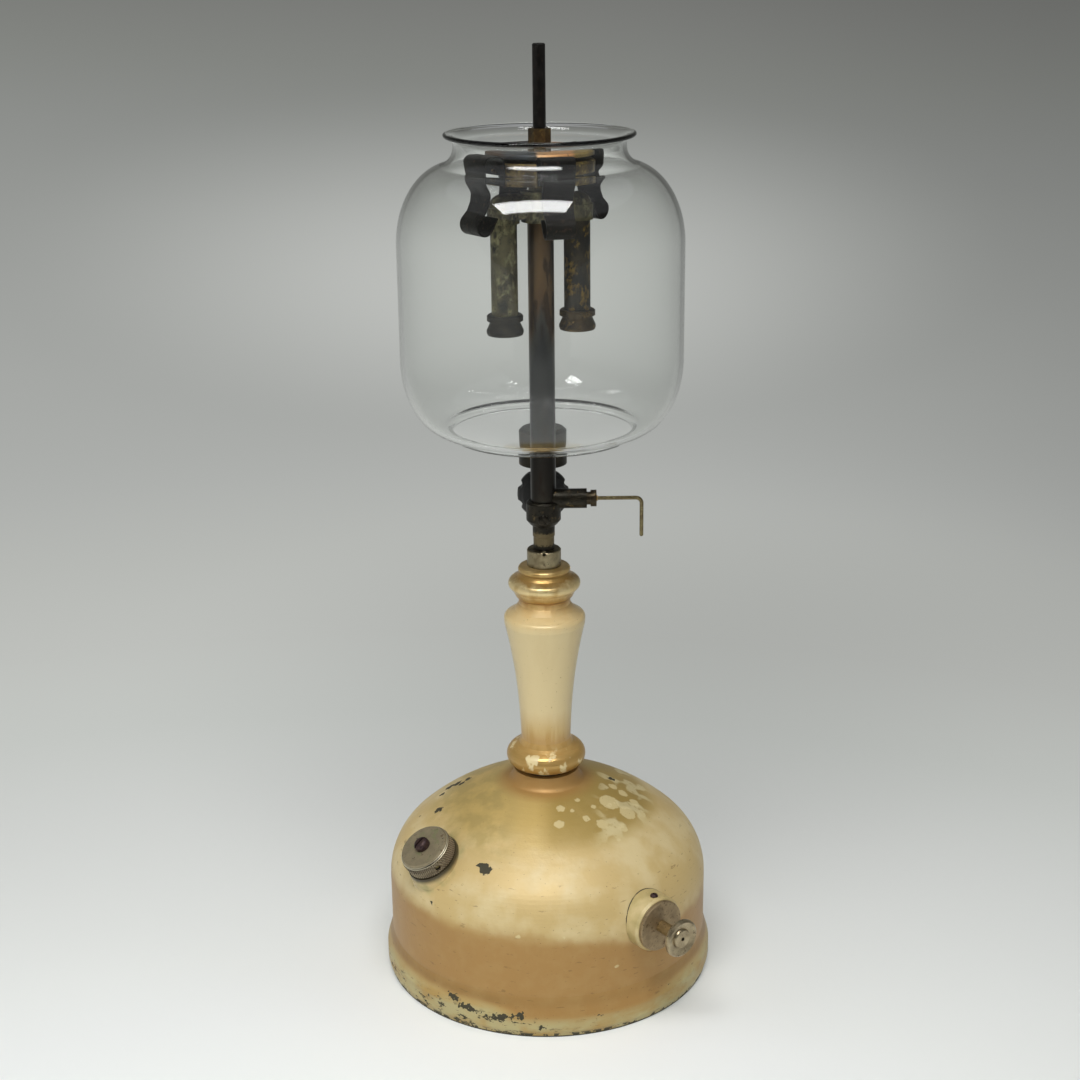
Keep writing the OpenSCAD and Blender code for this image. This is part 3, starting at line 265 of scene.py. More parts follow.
# Bronze lacquer over pressed steel, gone pale and chalky: a soft metallic glow under a satin
# coat, cream where it has bleached, brown where it has not, with chips down to dark steel.
def makeFontPaint(name, collar=False):
    made, tree, shader, at = startMaterial(name, 0.46, 0.15)
    axes = addNode(tree, "ShaderNodeSeparateXYZ", {0: at})
    x, y, z = axes.outputs[0], axes.outputs[1], axes.outputs[2]
    # the edges of the coats wander up and down by up to 4.5 mm
    wide = patches(tree, at, 34.0, 0.2, 0.8, seed=9, detail=3.0)
    drift = addNode(tree, "ShaderNodeMath", {0: wide, 1: 9.0, 2: -4.5}, operation="MULTIPLY_ADD").outputs[0]
    drifted = addNode(tree, "ShaderNodeMath", {0: z, 1: drift}, operation="ADD").outputs[0]
    # the edge of the brown wall lies lower on the right
    right = band(tree, x, 8.0, 45.0)
    high = addNode(tree, "ShaderNodeMath", {0: right, 1: 9.0, 2: drifted},
                   operation="MULTIPLY_ADD").outputs[0]
    pale = band(tree, high, 52.0, 63.0)
    # and it runs on down to the flange in front
    front = both(tree, band(tree, x, -34.0, -8.0), band(tree, x, 72.0, 50.0))
    low = addNode(tree, "ShaderNodeMath", {0: front, 1: 8.0, 2: z}, operation="MULTIPLY_ADD").outputs[0]
    brown = both(tree, band(tree, high, 61.5, 51.0), band(tree, low, 15.0, 21.0))
    if collar:
        brown = both(tree, brown, 0.25)
    crownGold = band(tree, drifted, 88.0, 99.0)
    neckGold = band(tree, z, 103.0, 106.0)
    bleached = both(tree, pale, patches(tree, at, 24.0, 0.44, 0.62, seed=1))
    # olive where the lacquer is thick, on the left of the crown and among the splashes
    oliveLeft = both(tree, band(tree, z, 82.0, 91.0), band(tree, x, -12.0, -28.0),
                     patches(tree, at, 11.0, 0.37, 0.56, seed=2))
    oliveRight = both(tree, band(tree, z, 87.0, 95.0), band(tree, x, -8.0, 6.0),
                      patches(tree, at, 15.0, 0.16, 0.40, seed=12))
    splashes = both(tree, band(tree, z, 88.0, 93.0), band(tree, x, 22.0, 34.0),
                    patches(tree, at, 12.0, 0.55, 0.60, seed=3, detail=1.5),
                    patches(tree, at, 3.0, 0.25, 0.45, seed=14))
    drops = both(tree, spots(tree, at, fontMarks["cream"], 0.5, 2.2), 0.75)
    haze = patches(tree, at, 9.0, 0.45, 0.75, seed=4)
    overFlange = addNode(tree, "ShaderNodeMath", {0: front, 1: 5.0, 2: z},
                         operation="MULTIPLY_ADD").outputs[0]
    flange = band(tree, overFlange, 18.0, 11.0)
    flangeGreen = both(tree, flange, patches(tree, at, 18.0, 0.36, 0.58, seed=8, stretch=(1, 1, 2.0)))
    # the crease above it is painted browner as shade, and less so in front
    lessFront = addNode(tree, "ShaderNodeMath", {0: front, 1: -0.6, 2: 1.0},
                        operation="MULTIPLY_ADD").outputs[0]
    crease = both(tree, band(tree, z, 14.0, 19.0), band(tree, z, 25.0, 19.0), lessFront)
    speck = patches(tree, at, 1.2, 0.75, 0.77, seed=5, detail=1.0)
    scuffs = both(tree, patches(tree, at, 3.4, 0.66, 0.69, seed=11, stretch=(0.5, 0.5, 2.2), detail=3.0),
                  band(tree, z, 84.0, 74.0))
    footWear = both(tree, band(tree, z, 14.0, 9.0), band(tree, x, 24.0, -22.0),
                    patches(tree, at, 5.0, 0.575, 0.59, seed=6, stretch=(0.6, 0.6, 1.7), detail=6.0,
                            rough=0.7))
    rimWear = both(tree, band(tree, z, 3.4, 1.6), patches(tree, at, 3.6, 0.50, 0.55, seed=13))
    edge = band(tree, z, 1.1, 0.6)
    chips = either(tree, spots(tree, at, fontMarks["chips"], 0.25),
                   spots(tree, at, fontMarks["foot"], 0.25, 8.0, (0.5, 0.8, 1.2)))
    colour = coats(tree, toLinear(tones["font"]["bronze"]), (pale, tones["font"]["pale"]),
                   (brown, tones["font"]["wall"]), (bleached, tones["font"]["bleached"]),
                   (crownGold, tones["font"]["crown"]), (both(tree, oliveLeft, 0.75), tones["font"]["olive"]),
                   (both(tree, oliveRight, 0.85), tones["font"]["oliveDeep"]), (neckGold, tones["font"]["neck"]),
                   (crease, tones["font"]["crease"]), (flange, tones["font"]["flange"]),
                   (flangeGreen, tones["font"]["flangeGreen"]),
                   (both(tree, haze, 0.18), tones["font"]["haze"]),
                   (either(tree, splashes, drops), tones["font"]["splash"]),
                   (both(tree, scuffs, 0.5), tones["font"]["scuff"]),
                   (both(tree, speck, 0.6), tones["font"]["scuff"]))
    dark = either(tree, footWear, rimWear, edge, chips)
    # painted shade of the gap below the filler cap, partly grime, with a green stain round it
    along, out = alongAxis(tree, at, filler)
    grimeAndShade = both(tree, band(tree, out, 15.4, 14.5), band(tree, along, 4.0, 3.0),
                 band(tree, along, -4.0, -2.0))
    stain = both(tree, band(tree, out, 19.5, 16.0), band(tree, along, -8.0, -5.0),
                 patches(tree, at, 8.0, 0.42, 0.62, seed=15))
    colour = coats(tree, colour, (both(tree, stain, 0.5), "#8c8a58"), (both(tree, grimeAndShade, 0.92), "#241d13"))
    if collar:
        # a crack where the collar meets the font, whose shoulder is an arc round (51.9, 52.0)
        flat = addNode(tree, "ShaderNodeCombineXYZ", {0: x, 1: y}).outputs[0]
        away = addNode(tree, "ShaderNodeVectorMath", {0: flat}, operation="LENGTH").outputs[1]
        arcX = addNode(tree, "ShaderNodeMath", {0: away, 1: 51.9}, operation="SUBTRACT").outputs[0]
        arcZ = addNode(tree, "ShaderNodeMath", {0: z, 1: 52.0}, operation="SUBTRACT").outputs[0]
        fromArc = addNode(tree, "ShaderNodeCombineXYZ", {0: arcX, 2: arcZ}).outputs[0]
        gap = addNode(tree, "ShaderNodeVectorMath", {0: fromArc}, operation="LENGTH").outputs[1]
        torn = patches(tree, at, 4.0, 0.38, 0.44, seed=21)
        dark = both(tree, band(tree, gap, 34.9, 34.5), torn, band(tree, z, 56.0, 60.0))
        greener = both(tree, patches(tree, at, 10.0, 0.25, 0.65, seed=22), 0.8)
        colour = coats(tree, colour, (greener, "#a3935f"))
    colour = coats(tree, colour, (dark, tones["font"]["bare"]))
    tree.links.new(colour, shader.inputs["Base Color"])
    tree.links.new(levels(tree, 0.14, (bleached, 0.04), (brown, 0.28), (crownGold, 0.34), (drops, 0.0),
                          (dark, 0.2)),
                   shader.inputs["Metallic"])
    tree.links.new(levels(tree, 0.46, (haze, 0.50), (brown, 0.42), (splashes, 0.55), (drops, 0.5),
                          (dark, 0.7)),
                   shader.inputs["Roughness"])
    # orange peel of the sprayed coat, about 2 mm across, and chips 0.1 mm deep
    peel = patches(tree, at, 2.2, 0.2, 0.8, seed=7, detail=2.0)
    relief(tree, shader, levels(tree, peel, (either(tree, splashes, drops), 1.6), (dark, -1.2)), 0.05)
    return made


# Cream enamel over gold size on a turned column, the gold showing where the cream thinned or ran.
def makeColumnPaint():
    made, tree, shader, at = startMaterial("creamOverGold", 0.34, 0.1)
    z = addNode(tree, "ShaderNodeSeparateXYZ", {0: at}).outputs[2]
    streak = patches(tree, at, 5.0, 0.0, 1.0, seed=1, stretch=(1, 1, 0.12), detail=3.0)
    spread = addNode(tree, "ShaderNodeMath", {0: streak, 1: 7.0, 2: -3.5},
                     operation="MULTIPLY_ADD").outputs[0]
    level = addNode(tree, "ShaderNodeMath", {0: z, 1: spread}, operation="ADD").outputs[0]
    share = addNode(tree, "ShaderNodeMapRange", {"Value": level, "From Min": 112.0,
                                                 "From Max": 228.0}).outputs[0]
    # cream on the vase, gold in the grooves and on the beads; the darker browns under the foot bead and in the
    # two top grooves are gold paint partly darkened as painted shade, and the paler cream on the top bead is
    # partly painted highlight
    cream, gold, deep = tones["column"]["cream"], tones["column"]["gold"], tones["column"]["deepGold"]
    ramp = addNode(tree, "ShaderNodeValToRGB", {0: share}, stops=[
        (0.0, deep), (0.05, gold), (0.12, gold), (0.17, "#b5925a"), (0.22, "#c4a974"), (0.32, cream),
        (0.72, cream), (0.78, "#d3b985"), (0.815, "#d0ad72"), (0.845, "#a67a40"), (0.865, gold),
        (0.89, "#d9c08c"), (0.925, "#dcc794"), (0.945, "#b28a4a"), (0.97, gold), (1.0, "#d3b67c")]).outputs[0]
    thin = patches(tree, at, 8.0, 0.50, 0.66, seed=3, stretch=(1, 1, 0.4))
    goldBand = either(tree, band(tree, z, 131.0, 122.0), band(tree, z, 204.0, 209.0))
    worn = both(tree, thin, goldBand, 0.7)
    # runs of cream down the foot bead, most of them on its right
    runs = both(tree, band(tree, z, 130.0, 124.0),
                patches(tree, at, 7.0, 0.56, 0.60, seed=17, stretch=(1, 1, 0.6), detail=3.0))
    # gold streaks that rise above the bead
    streaks = both(tree, band(tree, z, 145.0, 130.0),
                   patches(tree, at, 3.2, 0.46, 0.62, seed=8, stretch=(1, 1, 0.10), detail=3.0))
    grimeAndShade = patches(tree, at, 1.0, 0.74, 0.78, seed=5, detail=1.0)
    smoke = both(tree, patches(tree, at, 14.0, 0.50, 0.75, seed=6, stretch=(1, 1, 0.3)),
                 band(tree, z, 150.0, 190.0))
    colour = coats(tree, ramp, (both(tree, smoke, 0.25), "#b59c6c"), (worn, gold),
                   (both(tree, streaks, 0.8), "#b48f52"), (runs, tones["column"]["run"]),
                   (both(tree, grimeAndShade, 0.5), "#7a5f34"))
    tree.links.new(colour, shader.inputs["Base Color"])
    tree.links.new(levels(tree, 0.08, (goldBand, 0.55), (worn, 0.6), (streaks, 0.4), (runs, 0.0)),
                   shader.inputs["Metallic"])
    tree.links.new(levels(tree, 0.30, (thin, 0.38), (runs, 0.38)), shader.inputs["Roughness"])
    relief(tree, shader, levels(tree, patches(tree, at, 2.2, 0.2, 0.8, seed=7, detail=2.0), (runs, 1.5)),
           0.05)
    return made


# Nickel plate over brass, dulled grey-brown by handling, with brown where it has worn through.
def makeNickel(name, clean, dull, brown, roughness=0.32, stain=0.62, ridges=None, plated=0.95):
    made, tree, shader, at = startMaterial(name, roughness, plated)
    tarnish = patches(tree, at, 5.0, 0.36, 0.66, seed=1)
    rust = patches(tree, at, 3.0, stain, stain + 0.10, seed=2)
    pits = patches(tree, at, 0.8, 0.70, 0.74, seed=3, detail=1.0)
    colour = coats(tree, toLinear(clean), (tarnish, dull), (rust, brown), (pits, "#2b231c"))
    metal = levels(tree, plated, (rust, 0.6))
    shine = levels(tree, roughness, (tarnish, roughness + 0.12), (rust, 0.6), (pits, 0.8))
    if ridges:
        # the cap's skirt is browner than its top, and fingers keep its two ridges bright
        along, out = alongAxis(tree, at, filler)
        skirt = both(tree, band(tree, out, 13.3, 13.6), band(tree, along, 9.7, 9.4))
        bright = either(tree, *[both(tree, band(tree, along, low - 0.08, low),
                                     band(tree, along, high + 0.08, high),
                                     band(tree, out, 12.9, 13.1)) for low, high in ridges])
        # the groove between the two ridges is painted dark, partly dirt and partly shade
        groove = both(tree, band(tree, along, 10.1, 10.2), band(tree, along, 10.6, 10.5),
                      band(tree, out, 12.9, 13.1))
        green = both(tree, patches(tree, at, 5.0, 0.56, 0.66, seed=6), band(tree, along, 12.0, 12.15))
        x = addNode(tree, "ShaderNodeSeparateXYZ", {0: at}).outputs[0]
        redder = both(tree, skirt, band(tree, x, -60.0, -48.0))
        # the vent hole is painted near-black, as the shade inside it
        vent = spots(tree, at, [(-56.77, -57.04, 81.73, 1.25), (-57.12, -56.22, 81.85, 1.35)], 0.1, 0.3)
        # dirt and painted shade in the knurl's valleys, and rubbed tips with painted highlight
        tips = both(tree, skirt, band(tree, out, 13.92, 14.08))
        valleys = both(tree, skirt, band(tree, out, 13.92, 13.82))
        colour = coats(tree, colour, (both(tree, skirt, 0.6), "#8a7c66"), (both(tree, redder, 0.5), "#6a4c38"),
                       (both(tree, valleys, 0.85), "#3b3123"), (both(tree, tips, 0.7), "#b3a488"),
                       (both(tree, green, 0.6), "#7c8058"), (groove, "#3f382c"), (bright, "#c4bca6"),
                       (vent, "#120e0b"))
        shine = levels(tree, shine, (skirt, 0.42), (bright, 0.38), (vent, 0.9))
        metal = levels(tree, metal, (bright, 0.95), (vent, 0.0))
    tree.links.new(colour, shader.inputs["Base Color"])
    tree.links.new(metal, shader.inputs["Metallic"])
    tree.links.new(shine, shader.inputs["Roughness"])
    relief(tree, shader, pits, 0.03, 0.25 if ridges else 0.6)
    return made


# Brass parts of the burner: heat and soot leave oxides over the yellow metal, patch by patch.
def makeBrass(name, base, tarnish, bare, roughness=0.45, bareFrom=0.60, size=5.0, metallic=0.75,
              stretch=(1, 1, 1), belt=None):
    made, tree, shader, at = startMaterial(name, roughness, metallic)
    cloudy = patches(tree, at, size, 0.38, 0.62, seed=1, stretch=stretch)
    fine = patches(tree, at, size * 0.25, 0.45, 0.65, seed=2, stretch=stretch)
    shown = both(tree, patches(tree, at, size * 0.7, bareFrom, bareFrom + 0.06, seed=3, stretch=stretch),
                 fine)
    pits = patches(tree, at, 0.9, 0.68, 0.73, seed=4, detail=1.0)
    colour = coats(tree, toLinear(base), (cloudy, tarnish), (shown, bare), (pits, "#15110d"))
    if belt:
        # a cleaner belt that a clamp or flux has left
        z = addNode(tree, "ShaderNodeSeparateXYZ", {0: at}).outputs[2]
        z = addNode(tree, "ShaderNodeMath", {0: fine, 1: 1.2, 2: z}, operation="MULTIPLY_ADD").outputs[0]
        clean = both(tree, band(tree, z, belt[0] - 0.8, belt[0] + 0.8),
                     band(tree, z, belt[1] + 0.8, belt[1] - 0.8))
        colour = coats(tree, colour, (both(tree, clean, 0.75), belt[2]))
    tree.links.new(colour, shader.inputs["Base Color"])
    tree.links.new(levels(tree, metallic, (cloudy, metallic - 0.15), (shown, 0.95)),
                   shader.inputs["Metallic"])
    tree.links.new(levels(tree, roughness, (cloudy, roughness + 0.12), (shown, 0.35), (pits, 0.85)),
                   shader.inputs["Roughness"])
    relief(tree, shader, levels(tree, fine, (pits, -1.0)), 0.04, 0.7)
    return made


# Generator: drawn brass tube that the flame has coloured, copper-brown above and blue-black below,
# with a dark tongue that rises on the side towards the front.
def makeHeatedTube():
    made, tree, shader, at = startMaterial("flameColouredTube", 0.34, 0.85)
    axes = addNode(tree, "ShaderNodeSeparateXYZ", {0: at})
    x, z = axes.outputs[0], axes.outputs[2]
    streak = patches(tree, at, 3.0, 0.0, 1.0, seed=1, stretch=(1, 1, 0.15), detail=3.0)
    side = addNode(tree, "ShaderNodeMath", {0: x}, operation="ABSOLUTE").outputs[0]
    tongue = addNode(tree, "ShaderNodeMath", {0: side, 1: 3.2, 2: z}, operation="MULTIPLY_ADD").outputs[0]
    wander = addNode(tree, "ShaderNodeMath", {0: streak, 1: 12.0, 2: -6.0},
                     operation="MULTIPLY_ADD").outputs[0]
    shifted = addNode(tree, "ShaderNodeMath", {0: tongue, 1: wander}, operation="ADD").outputs[0]
    share = addNode(tree, "ShaderNodeMapRange", {"Value": shifted, "From Min": 262.0,
                                                 "From Max": 412.0}).outputs[0]
    ramp = addNode(tree, "ShaderNodeValToRGB", {0: share}, stops=[
        (0.0, "#35312a"), (0.12, "#272420"), (0.40, "#201f1e"), (0.58, "#2b2c2e"), (0.66, "#45423e"),
        (0.72, "#604a35"), (0.80, "#6e563a"), (0.92, "#5f4b34"), (1.0, "#463624")]).outputs[0]
    scale = patches(tree, at, 5.0, 0.56, 0.62, seed=2, stretch=(1, 1, 0.3), detail=3.0)
    colour = coats(tree, ramp, (both(tree, scale, 0.6), "#2c211a"))
    tree.links.new(colour, shader.inputs["Base Color"])
    tree.links.new(levels(tree, 0.33, (scale, 0.5)), shader.inputs["Roughness"])
    relief(tree, shader, patches(tree, at, 6.0, 0.3, 0.7, seed=4, stretch=(1, 1, 0.3)), 0.03, 0.4)
    return made


# Heat plate: steel that the flame has scaled brown and blue-grey, with a copper-orange bloom on
# its front right and plain brass showing beside that.
def makeHeatPlate():
    made, tree, shader, at = startMaterial("scaledPlate", 0.5, 0.6)
    x = addNode(tree, "ShaderNodeSeparateXYZ", {0: at}).outputs[0]
    warp = patches(tree, at, 6.0, 0.0, 1.0, seed=1)
    wander = addNode(tree, "ShaderNodeMath", {0: warp, 1: 5.0, 2: -2.5}, operation="MULTIPLY_ADD").outputs[0]
    across = addNode(tree, "ShaderNodeMath", {0: x, 1: wander}, operation="ADD").outputs[0]
    share = addNode(tree, "ShaderNodeMapRange", {"Value": across, "From Min": -27.0,
                                                 "From Max": 27.0}).outputs[0]
    ramp = addNode(tree, "ShaderNodeValToRGB", {0: share}, stops=[
        (0.0, "#54402f"), (0.14, "#4e3d30"), (0.22, "#3a3a3c"), (0.40, "#3c4044"), (0.455, "#43413f"),
        (0.48, "#c9a27a"),
        (0.60, "#c99a68"), (0.78, "#c28c58"), (0.82, "#8a733c"), (0.92, "#98834a"),
        (1.0, "#4a3f25")]).outputs[0]
    flake = patches(tree, at, 2.4, 0.60, 0.66, seed=3)
    colour = coats(tree, ramp, (both(tree, flake, 0.6), "#3a2b1e"))
    tree.links.new(colour, shader.inputs["Base Color"])
    tree.links.new(levels(tree, 0.45, (flake, 0.65)), shader.inputs["Roughness"])
    relief(tree, shader, flake, 0.05, 0.8)
    return made


# Blued spring steel, with soot: nearly black, a thin sheen on the bends.
def makeDarkSteel(name, base="#1a1713", worn="#47382a", roughness=0.42):
    made, tree, shader, at = startMaterial(name, roughness, 0.6)
    soot = patches(tree, at, 4.0, 0.45, 0.65, seed=1)
    brown = patches(tree, at, 2.2, 0.60, 0.68, seed=2)
    colour = coats(tree, toLinear(base), (soot, "#1d1a17"), (brown, worn))
    tree.links.new(colour, shader.inputs["Base Color"])
    tree.links.new(levels(tree, roughness, (soot, roughness + 0.2), (brown, 0.55)),
                   shader.inputs["Roughness"])
    relief(tree, shader, patches(tree, at, 1.2, 0.3, 0.7, seed=3), 0.02, 0.6)
    return made


# Blown heat-resisting glass: clear and nearly without tint, with sharp reflections that a faint
# wave in the wall bends.
def makeGlass():
    made, tree, shader, at = startMaterial("blownGlass", 0.0)
    shader.inputs["Transmission Weight"].default_value = 1.0
    shader.inputs["IOR"].default_value = 1.47
    shader.inputs["Base Color"].default_value = toLinear("#fdfefd")
    # the wave is some 60 mm long
    relief(tree, shader, patches(tree, at, 60.0, 0.2, 0.8, seed=2, detail=0.0), 0.05, 0.3)
    return made


# Moulded or turned small pieces of one matter, with its own mottling.
def makePlain(name, base, second, roughness, size=2.0, metallic=0.0, depth=0.04):
    made, tree, shader, at = startMaterial(name, roughness, metallic)
    mottled = patches(tree, at, size, 0.40, 0.66, seed=1)
    colour = coats(tree, toLinear(base), (mottled, second))
    tree.links.new(colour, shader.inputs["Base Color"])
    tree.links.new(levels(tree, roughness, (mottled, min(roughness + 0.12, 1.0))), shader.inputs["Roughness"])
    relief(tree, shader, patches(tree, at, size * 0.5, 0.3, 0.7, seed=2), depth, 0.7)
    return made


fontPaint = makeFontPaint("wornBronzeLacquer")
collarPaint = makeFontPaint("wornLacquerCollar", collar=True)
columnPaint = makeColumnPaint()
capNickel = makeNickel("handledNickel", "#93876c", "#857a62", "#6f5c45", 0.40, 0.62,
                       [(9.66, 10.02), (10.66, 11.0)], 0.5)
nickel = makeNickel("agedNickel", "#b3a486", "#8d7f66", "#5d4936", 0.30)
collarNickel = makeNickel("collarNickel", "#a39779", "#7c7057", "#544231", 0.30)
capSteel = makeNickel("dullPlatedSteel", "#9c8868", "#87755a", "#665036", 0.46, 0.60, plated=0.7)
sootedBrass = makeBrass("sootedBrass", "#211e18", "#302a1f", "#6b5737", 0.40, 0.62)
glandBrass = makeBrass("glandBrass", "#3a3225", "#4a4030", "#7d6c48", 0.42, 0.58, 3.0)
valveBrass = makeBrass("stainedValveBrass", "#211e18", "#302b20", "#6f5f42", 0.40, 0.60,
                       belt=(239.5, 246.0, "#7a6b4c"))
brownBrass = makeBrass("heatBrownedBrass", "#3a2e1c", "#504024", "#8b7240", 0.42, 0.56)
leverBrass = makeBrass("tanBrass", "#6a5d43", "#857a56", "#a89d74", 0.40, 0.52, 3.0)
rawBrass = makeBrass("plainBrass", "#b08d4c", "#8f7039", "#c9a866", 0.30, 0.62)
rodSteel = makeBrass("tannedRod", "#8c744c", "#75603d", "#a58c5c", 0.34, 0.60, metallic=0.55)
verdigris = makeBrass("verdigrisBrass", "#6a6344", "#26231a", "#948e6a", 0.50, 0.46, 11.0, 0.35, (1, 1, 0.7))
sootedVerdigris = makeBrass("sootedVerdigris", "#3d3423", "#1d1a13", "#8a713c", 0.50, 0.50, 8.0, 0.40,
                            (1, 1, 0.7))
drumBrass = makeBrass("mottledDrumBrass", "#715f36", "#3a3122", "#a18c4e", 0.40, 0.50, 7.0, 0.6)
heatedTube = makeHeatedTube()
heatPlate = makeHeatPlate()
springSteel = makeDarkSteel("bluedSpringSteel")
blackIron = makeDarkSteel("blackenedRod", "#12100e", "#2c221a", 0.36)
glass = makeGlass()
leather = makePlain("oiledLeather", "#4d2f18", "#3a2211", 0.6)
rubber = makePlain("gasketRubber", "#1b1b1b", "#252423", 0.7)
fibre = makePlain("graphiteFibre", "#2a2320", "#3d322a", 0.8)
knobBlack = makePlain("pressedKnob", "#121212", "#1d1b1a", 0.45)
brownScrew = makePlain("brownedScrew", "#4a3833", "#35262a", 0.42, 1.5, 0.6)
tinned = makePlain("tinnedSteel", "#9a978c", "#7d786a", 0.42, 8.0, 0.8)

paint(["tank_shell", "filler_collar"], fontPaint)
paint(["pump_collar"], collarPaint)
paint(["stem_column"], columnPaint)
paint(["filler_cap"], capNickel)
paint(["pump_knob"], nickel)
paint(["collar_nut"], collarNickel)
paint(["pump_cap"], capSteel)
paint(["valve_plug_screw", "valve_packing_nut", "valve_stem", "air_bell", "mantle_cap_left"], sootedBrass)
paint(["valve_body"], valveBrass)
paint(["cleaner_gland_nut"], glandBrass)
paint(["air_tube", "post_nut", "clip_rivets", "mantle_cap_right"], brownBrass)
paint(["burner_drum"], drumBrass)
paint(["cleaner_lever"], leverBrass)
paint(["pump_cylinder", "check_valve", "riser_pipe", "pickup_tube", "pickup_strainer", "gas_tip", "air_stem",
       "cup_retainer", "cleaner_shaft"], rawBrass)
paint(["pump_rod"], rodSteel)
paint(["burner_manifold", "mantle_tube_left", "spacer_ring"], verdigris)
paint(["mantle_tube_right"], sootedVerdigris)
paint(["generator_tube"], heatedTube)
paint(["heat_plate"], heatPlate)
paint(["globe_clip_rear_right", "globe_clip_rear", "globe_clip_left", "globe_clip_front", "cap_screen_left",
       "cap_screen_right"], springSteel)
paint(["shade_post"], blackIron)
paint(["glass_globe"], glass)
paint(["pump_cup"], leather)
paint(["filler_gasket"], rubber)
paint(["column_washer", "valve_packing", "cleaner_packing"], fibre)
paint(["valve_knob"], knobBlack)
paint(["relief_screw", "knob_screw", "collar_screw"], brownScrew)
paint(["base_plate", "cleaner_needle"], tinned)
print("materials made:", len(bpy.data.materials))


# pieces that take the place of a CAD node, or are fitted to one

# the globe's outline as in the CAD, with many more points, so that the glass bends light evenly
globe = {"foot": 298.605, "rim": 449.105, "footR": 47.7, "bodyR": 71.2, "neckR": 42.4, "beadR": 47.0,
         "wall": 2.1, "lowH": 39.0, "highDrop": 54.2, "creaseDrop": 14.6, "creaseOut": 1.2,
         "shoulderEnd": 79.0, "footCorner": 1.6, "footStep": 3, "footLift": 0.9, "edgeIn": 0.6,
         "edgeUp": 0.25, "lipIn": 0.55, "turns": 240}
# the chip out of the foot's rim: where it is, how far it reaches, and how deep it goes
chip = {"angle": -33.5, "out": 47.0, "below": 0.6, "reach": 3.2, "rise": 0.55, "pull": 0.004}


def globeSkin(inset):
    # one face of the wall from foot to lip, inset by so many mm from the outer one
    body = globe["bodyR"] - inset
    neck = globe["neckR"] - inset
    low = globe["foot"] + globe["lowH"]
    high = globe["rim"] - globe["highDrop"]
    crease = globe["rim"] - globe["creaseDrop"]
    # a short foot, a small hollow, then a quarter of an ellipse up to the side
    corner = globe["footCorner"]
    centre = globe["footR"] + corner
    step = globe["foot"] + globe["footStep"]
    points = [(globe["footR"] - inset, globe["foot"] + globe["footLift"])]
    for k in range(7):
        turn = math.radians(15 * k)
        points.append((centre - (corner + inset) * math.cos(turn),
                       step - corner + (corner + inset) * math.sin(turn)))
    for k in range(1, 33):
        turn = math.radians(90 - 90 * k / 32)
        points.append((centre + (body - centre) * math.cos(turn),
                       low - (low - step - inset) * math.sin(turn)))
    points += [(body, low + (high - low) * k / 8) for k in range(1, 8)]
    # the wall is as thick in the shoulder as in the side
    centre = globe["neckR"] + globe["creaseOut"]
    across = body - centre
    rise = crease - high - inset
    last = globe["shoulderEnd"]
    for k in range(37):
        turn = math.radians(last * k / 36)
        points.append((centre + across * math.cos(turn), high + rise * math.sin(turn)))
    # the shoulder runs into the neck through a small hollow curve
    endR, endZ = points[-1]
    slope = math.atan2(rise * math.cos(math.radians(last)), across * math.sin(math.radians(last)))
    hollow = (endR - neck) / (1 - math.sin(slope))
    middle = (endR + hollow * math.sin(slope), endZ + hollow * math.cos(slope))
    for k in range(1, 9):
        turn = slope + (math.pi / 2 - slope) * k / 8
        points.append((middle[0] - hollow * math.sin(turn), middle[1] - hollow * math.cos(turn)))
    # and the neck flares into the lip
    flare = globe["beadR"] - globe["wall"] / 2 - globe["lipIn"] - globe["neckR"]
    for k in range(7):
        turn = math.radians(15 * k)
        points.append((globe["neckR"] + flare - (flare + inset) * math.cos(turn),
                       globe["rim"] - globe["wall"] - flare + (flare + inset) * math.sin(turn)))
    return points


def makeGlobe():
    bead = globe["wall"] / 2
    rim = [(globe["beadR"] - bead + bead * math.cos(math.radians(turn)),
            globe["rim"] - bead + bead * math.sin(math.radians(turn)))
           for turn in range(-90, 91, 15)]
    foot = [(globe["footR"] - globe["wall"] + globe["edgeIn"], globe["foot"] + globe["edgeUp"]),
            (globe["footR"] - bead, globe["foot"]),
            (globe["footR"] - globe["edgeIn"], globe["foot"] + globe["edgeUp"])]
    outline = globeSkin(0) + rim + globeSkin(globe["wall"])[::-1] + foot
    mesh = turnOutline(outline, globe["turns"], sharp=80)
    turn = math.radians(chip["angle"])
    middle = Vector((math.cos(turn), math.sin(turn), 0)) * chip["out"] * mm
    middle.z = (globe["foot"] - chip["below"]) * mm
    for vertex in mesh.vertices:
        inside = chip["reach"] - (vertex.co - middle).length / mm
        if inside > 0:
            vertex.co.z += inside * chip["rise"] * mm
            vertex.co.x *= 1 - chip["pull"] * inside
            vertex.co.y *= 1 - chip["pull"] * inside
    return mesh


globePiece = keepPiece("blownGlobe", makeGlobe(), glass, "globe")
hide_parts("glass_globe")


# diamond knurl: small pyramids round a skirt, in staggered rows, with none over the vent hole;
# each size goes to the input of the same name
knurl = {"Count": 66, "Rows": 10, "Radius": 13.78, "Pitch": 0.62, "Start": 3.4, "Tooth": 0.62, "Height": 0.40,
         "Vent": (3.572, 13.330, 6.0), "Vent Gap": 1.7}


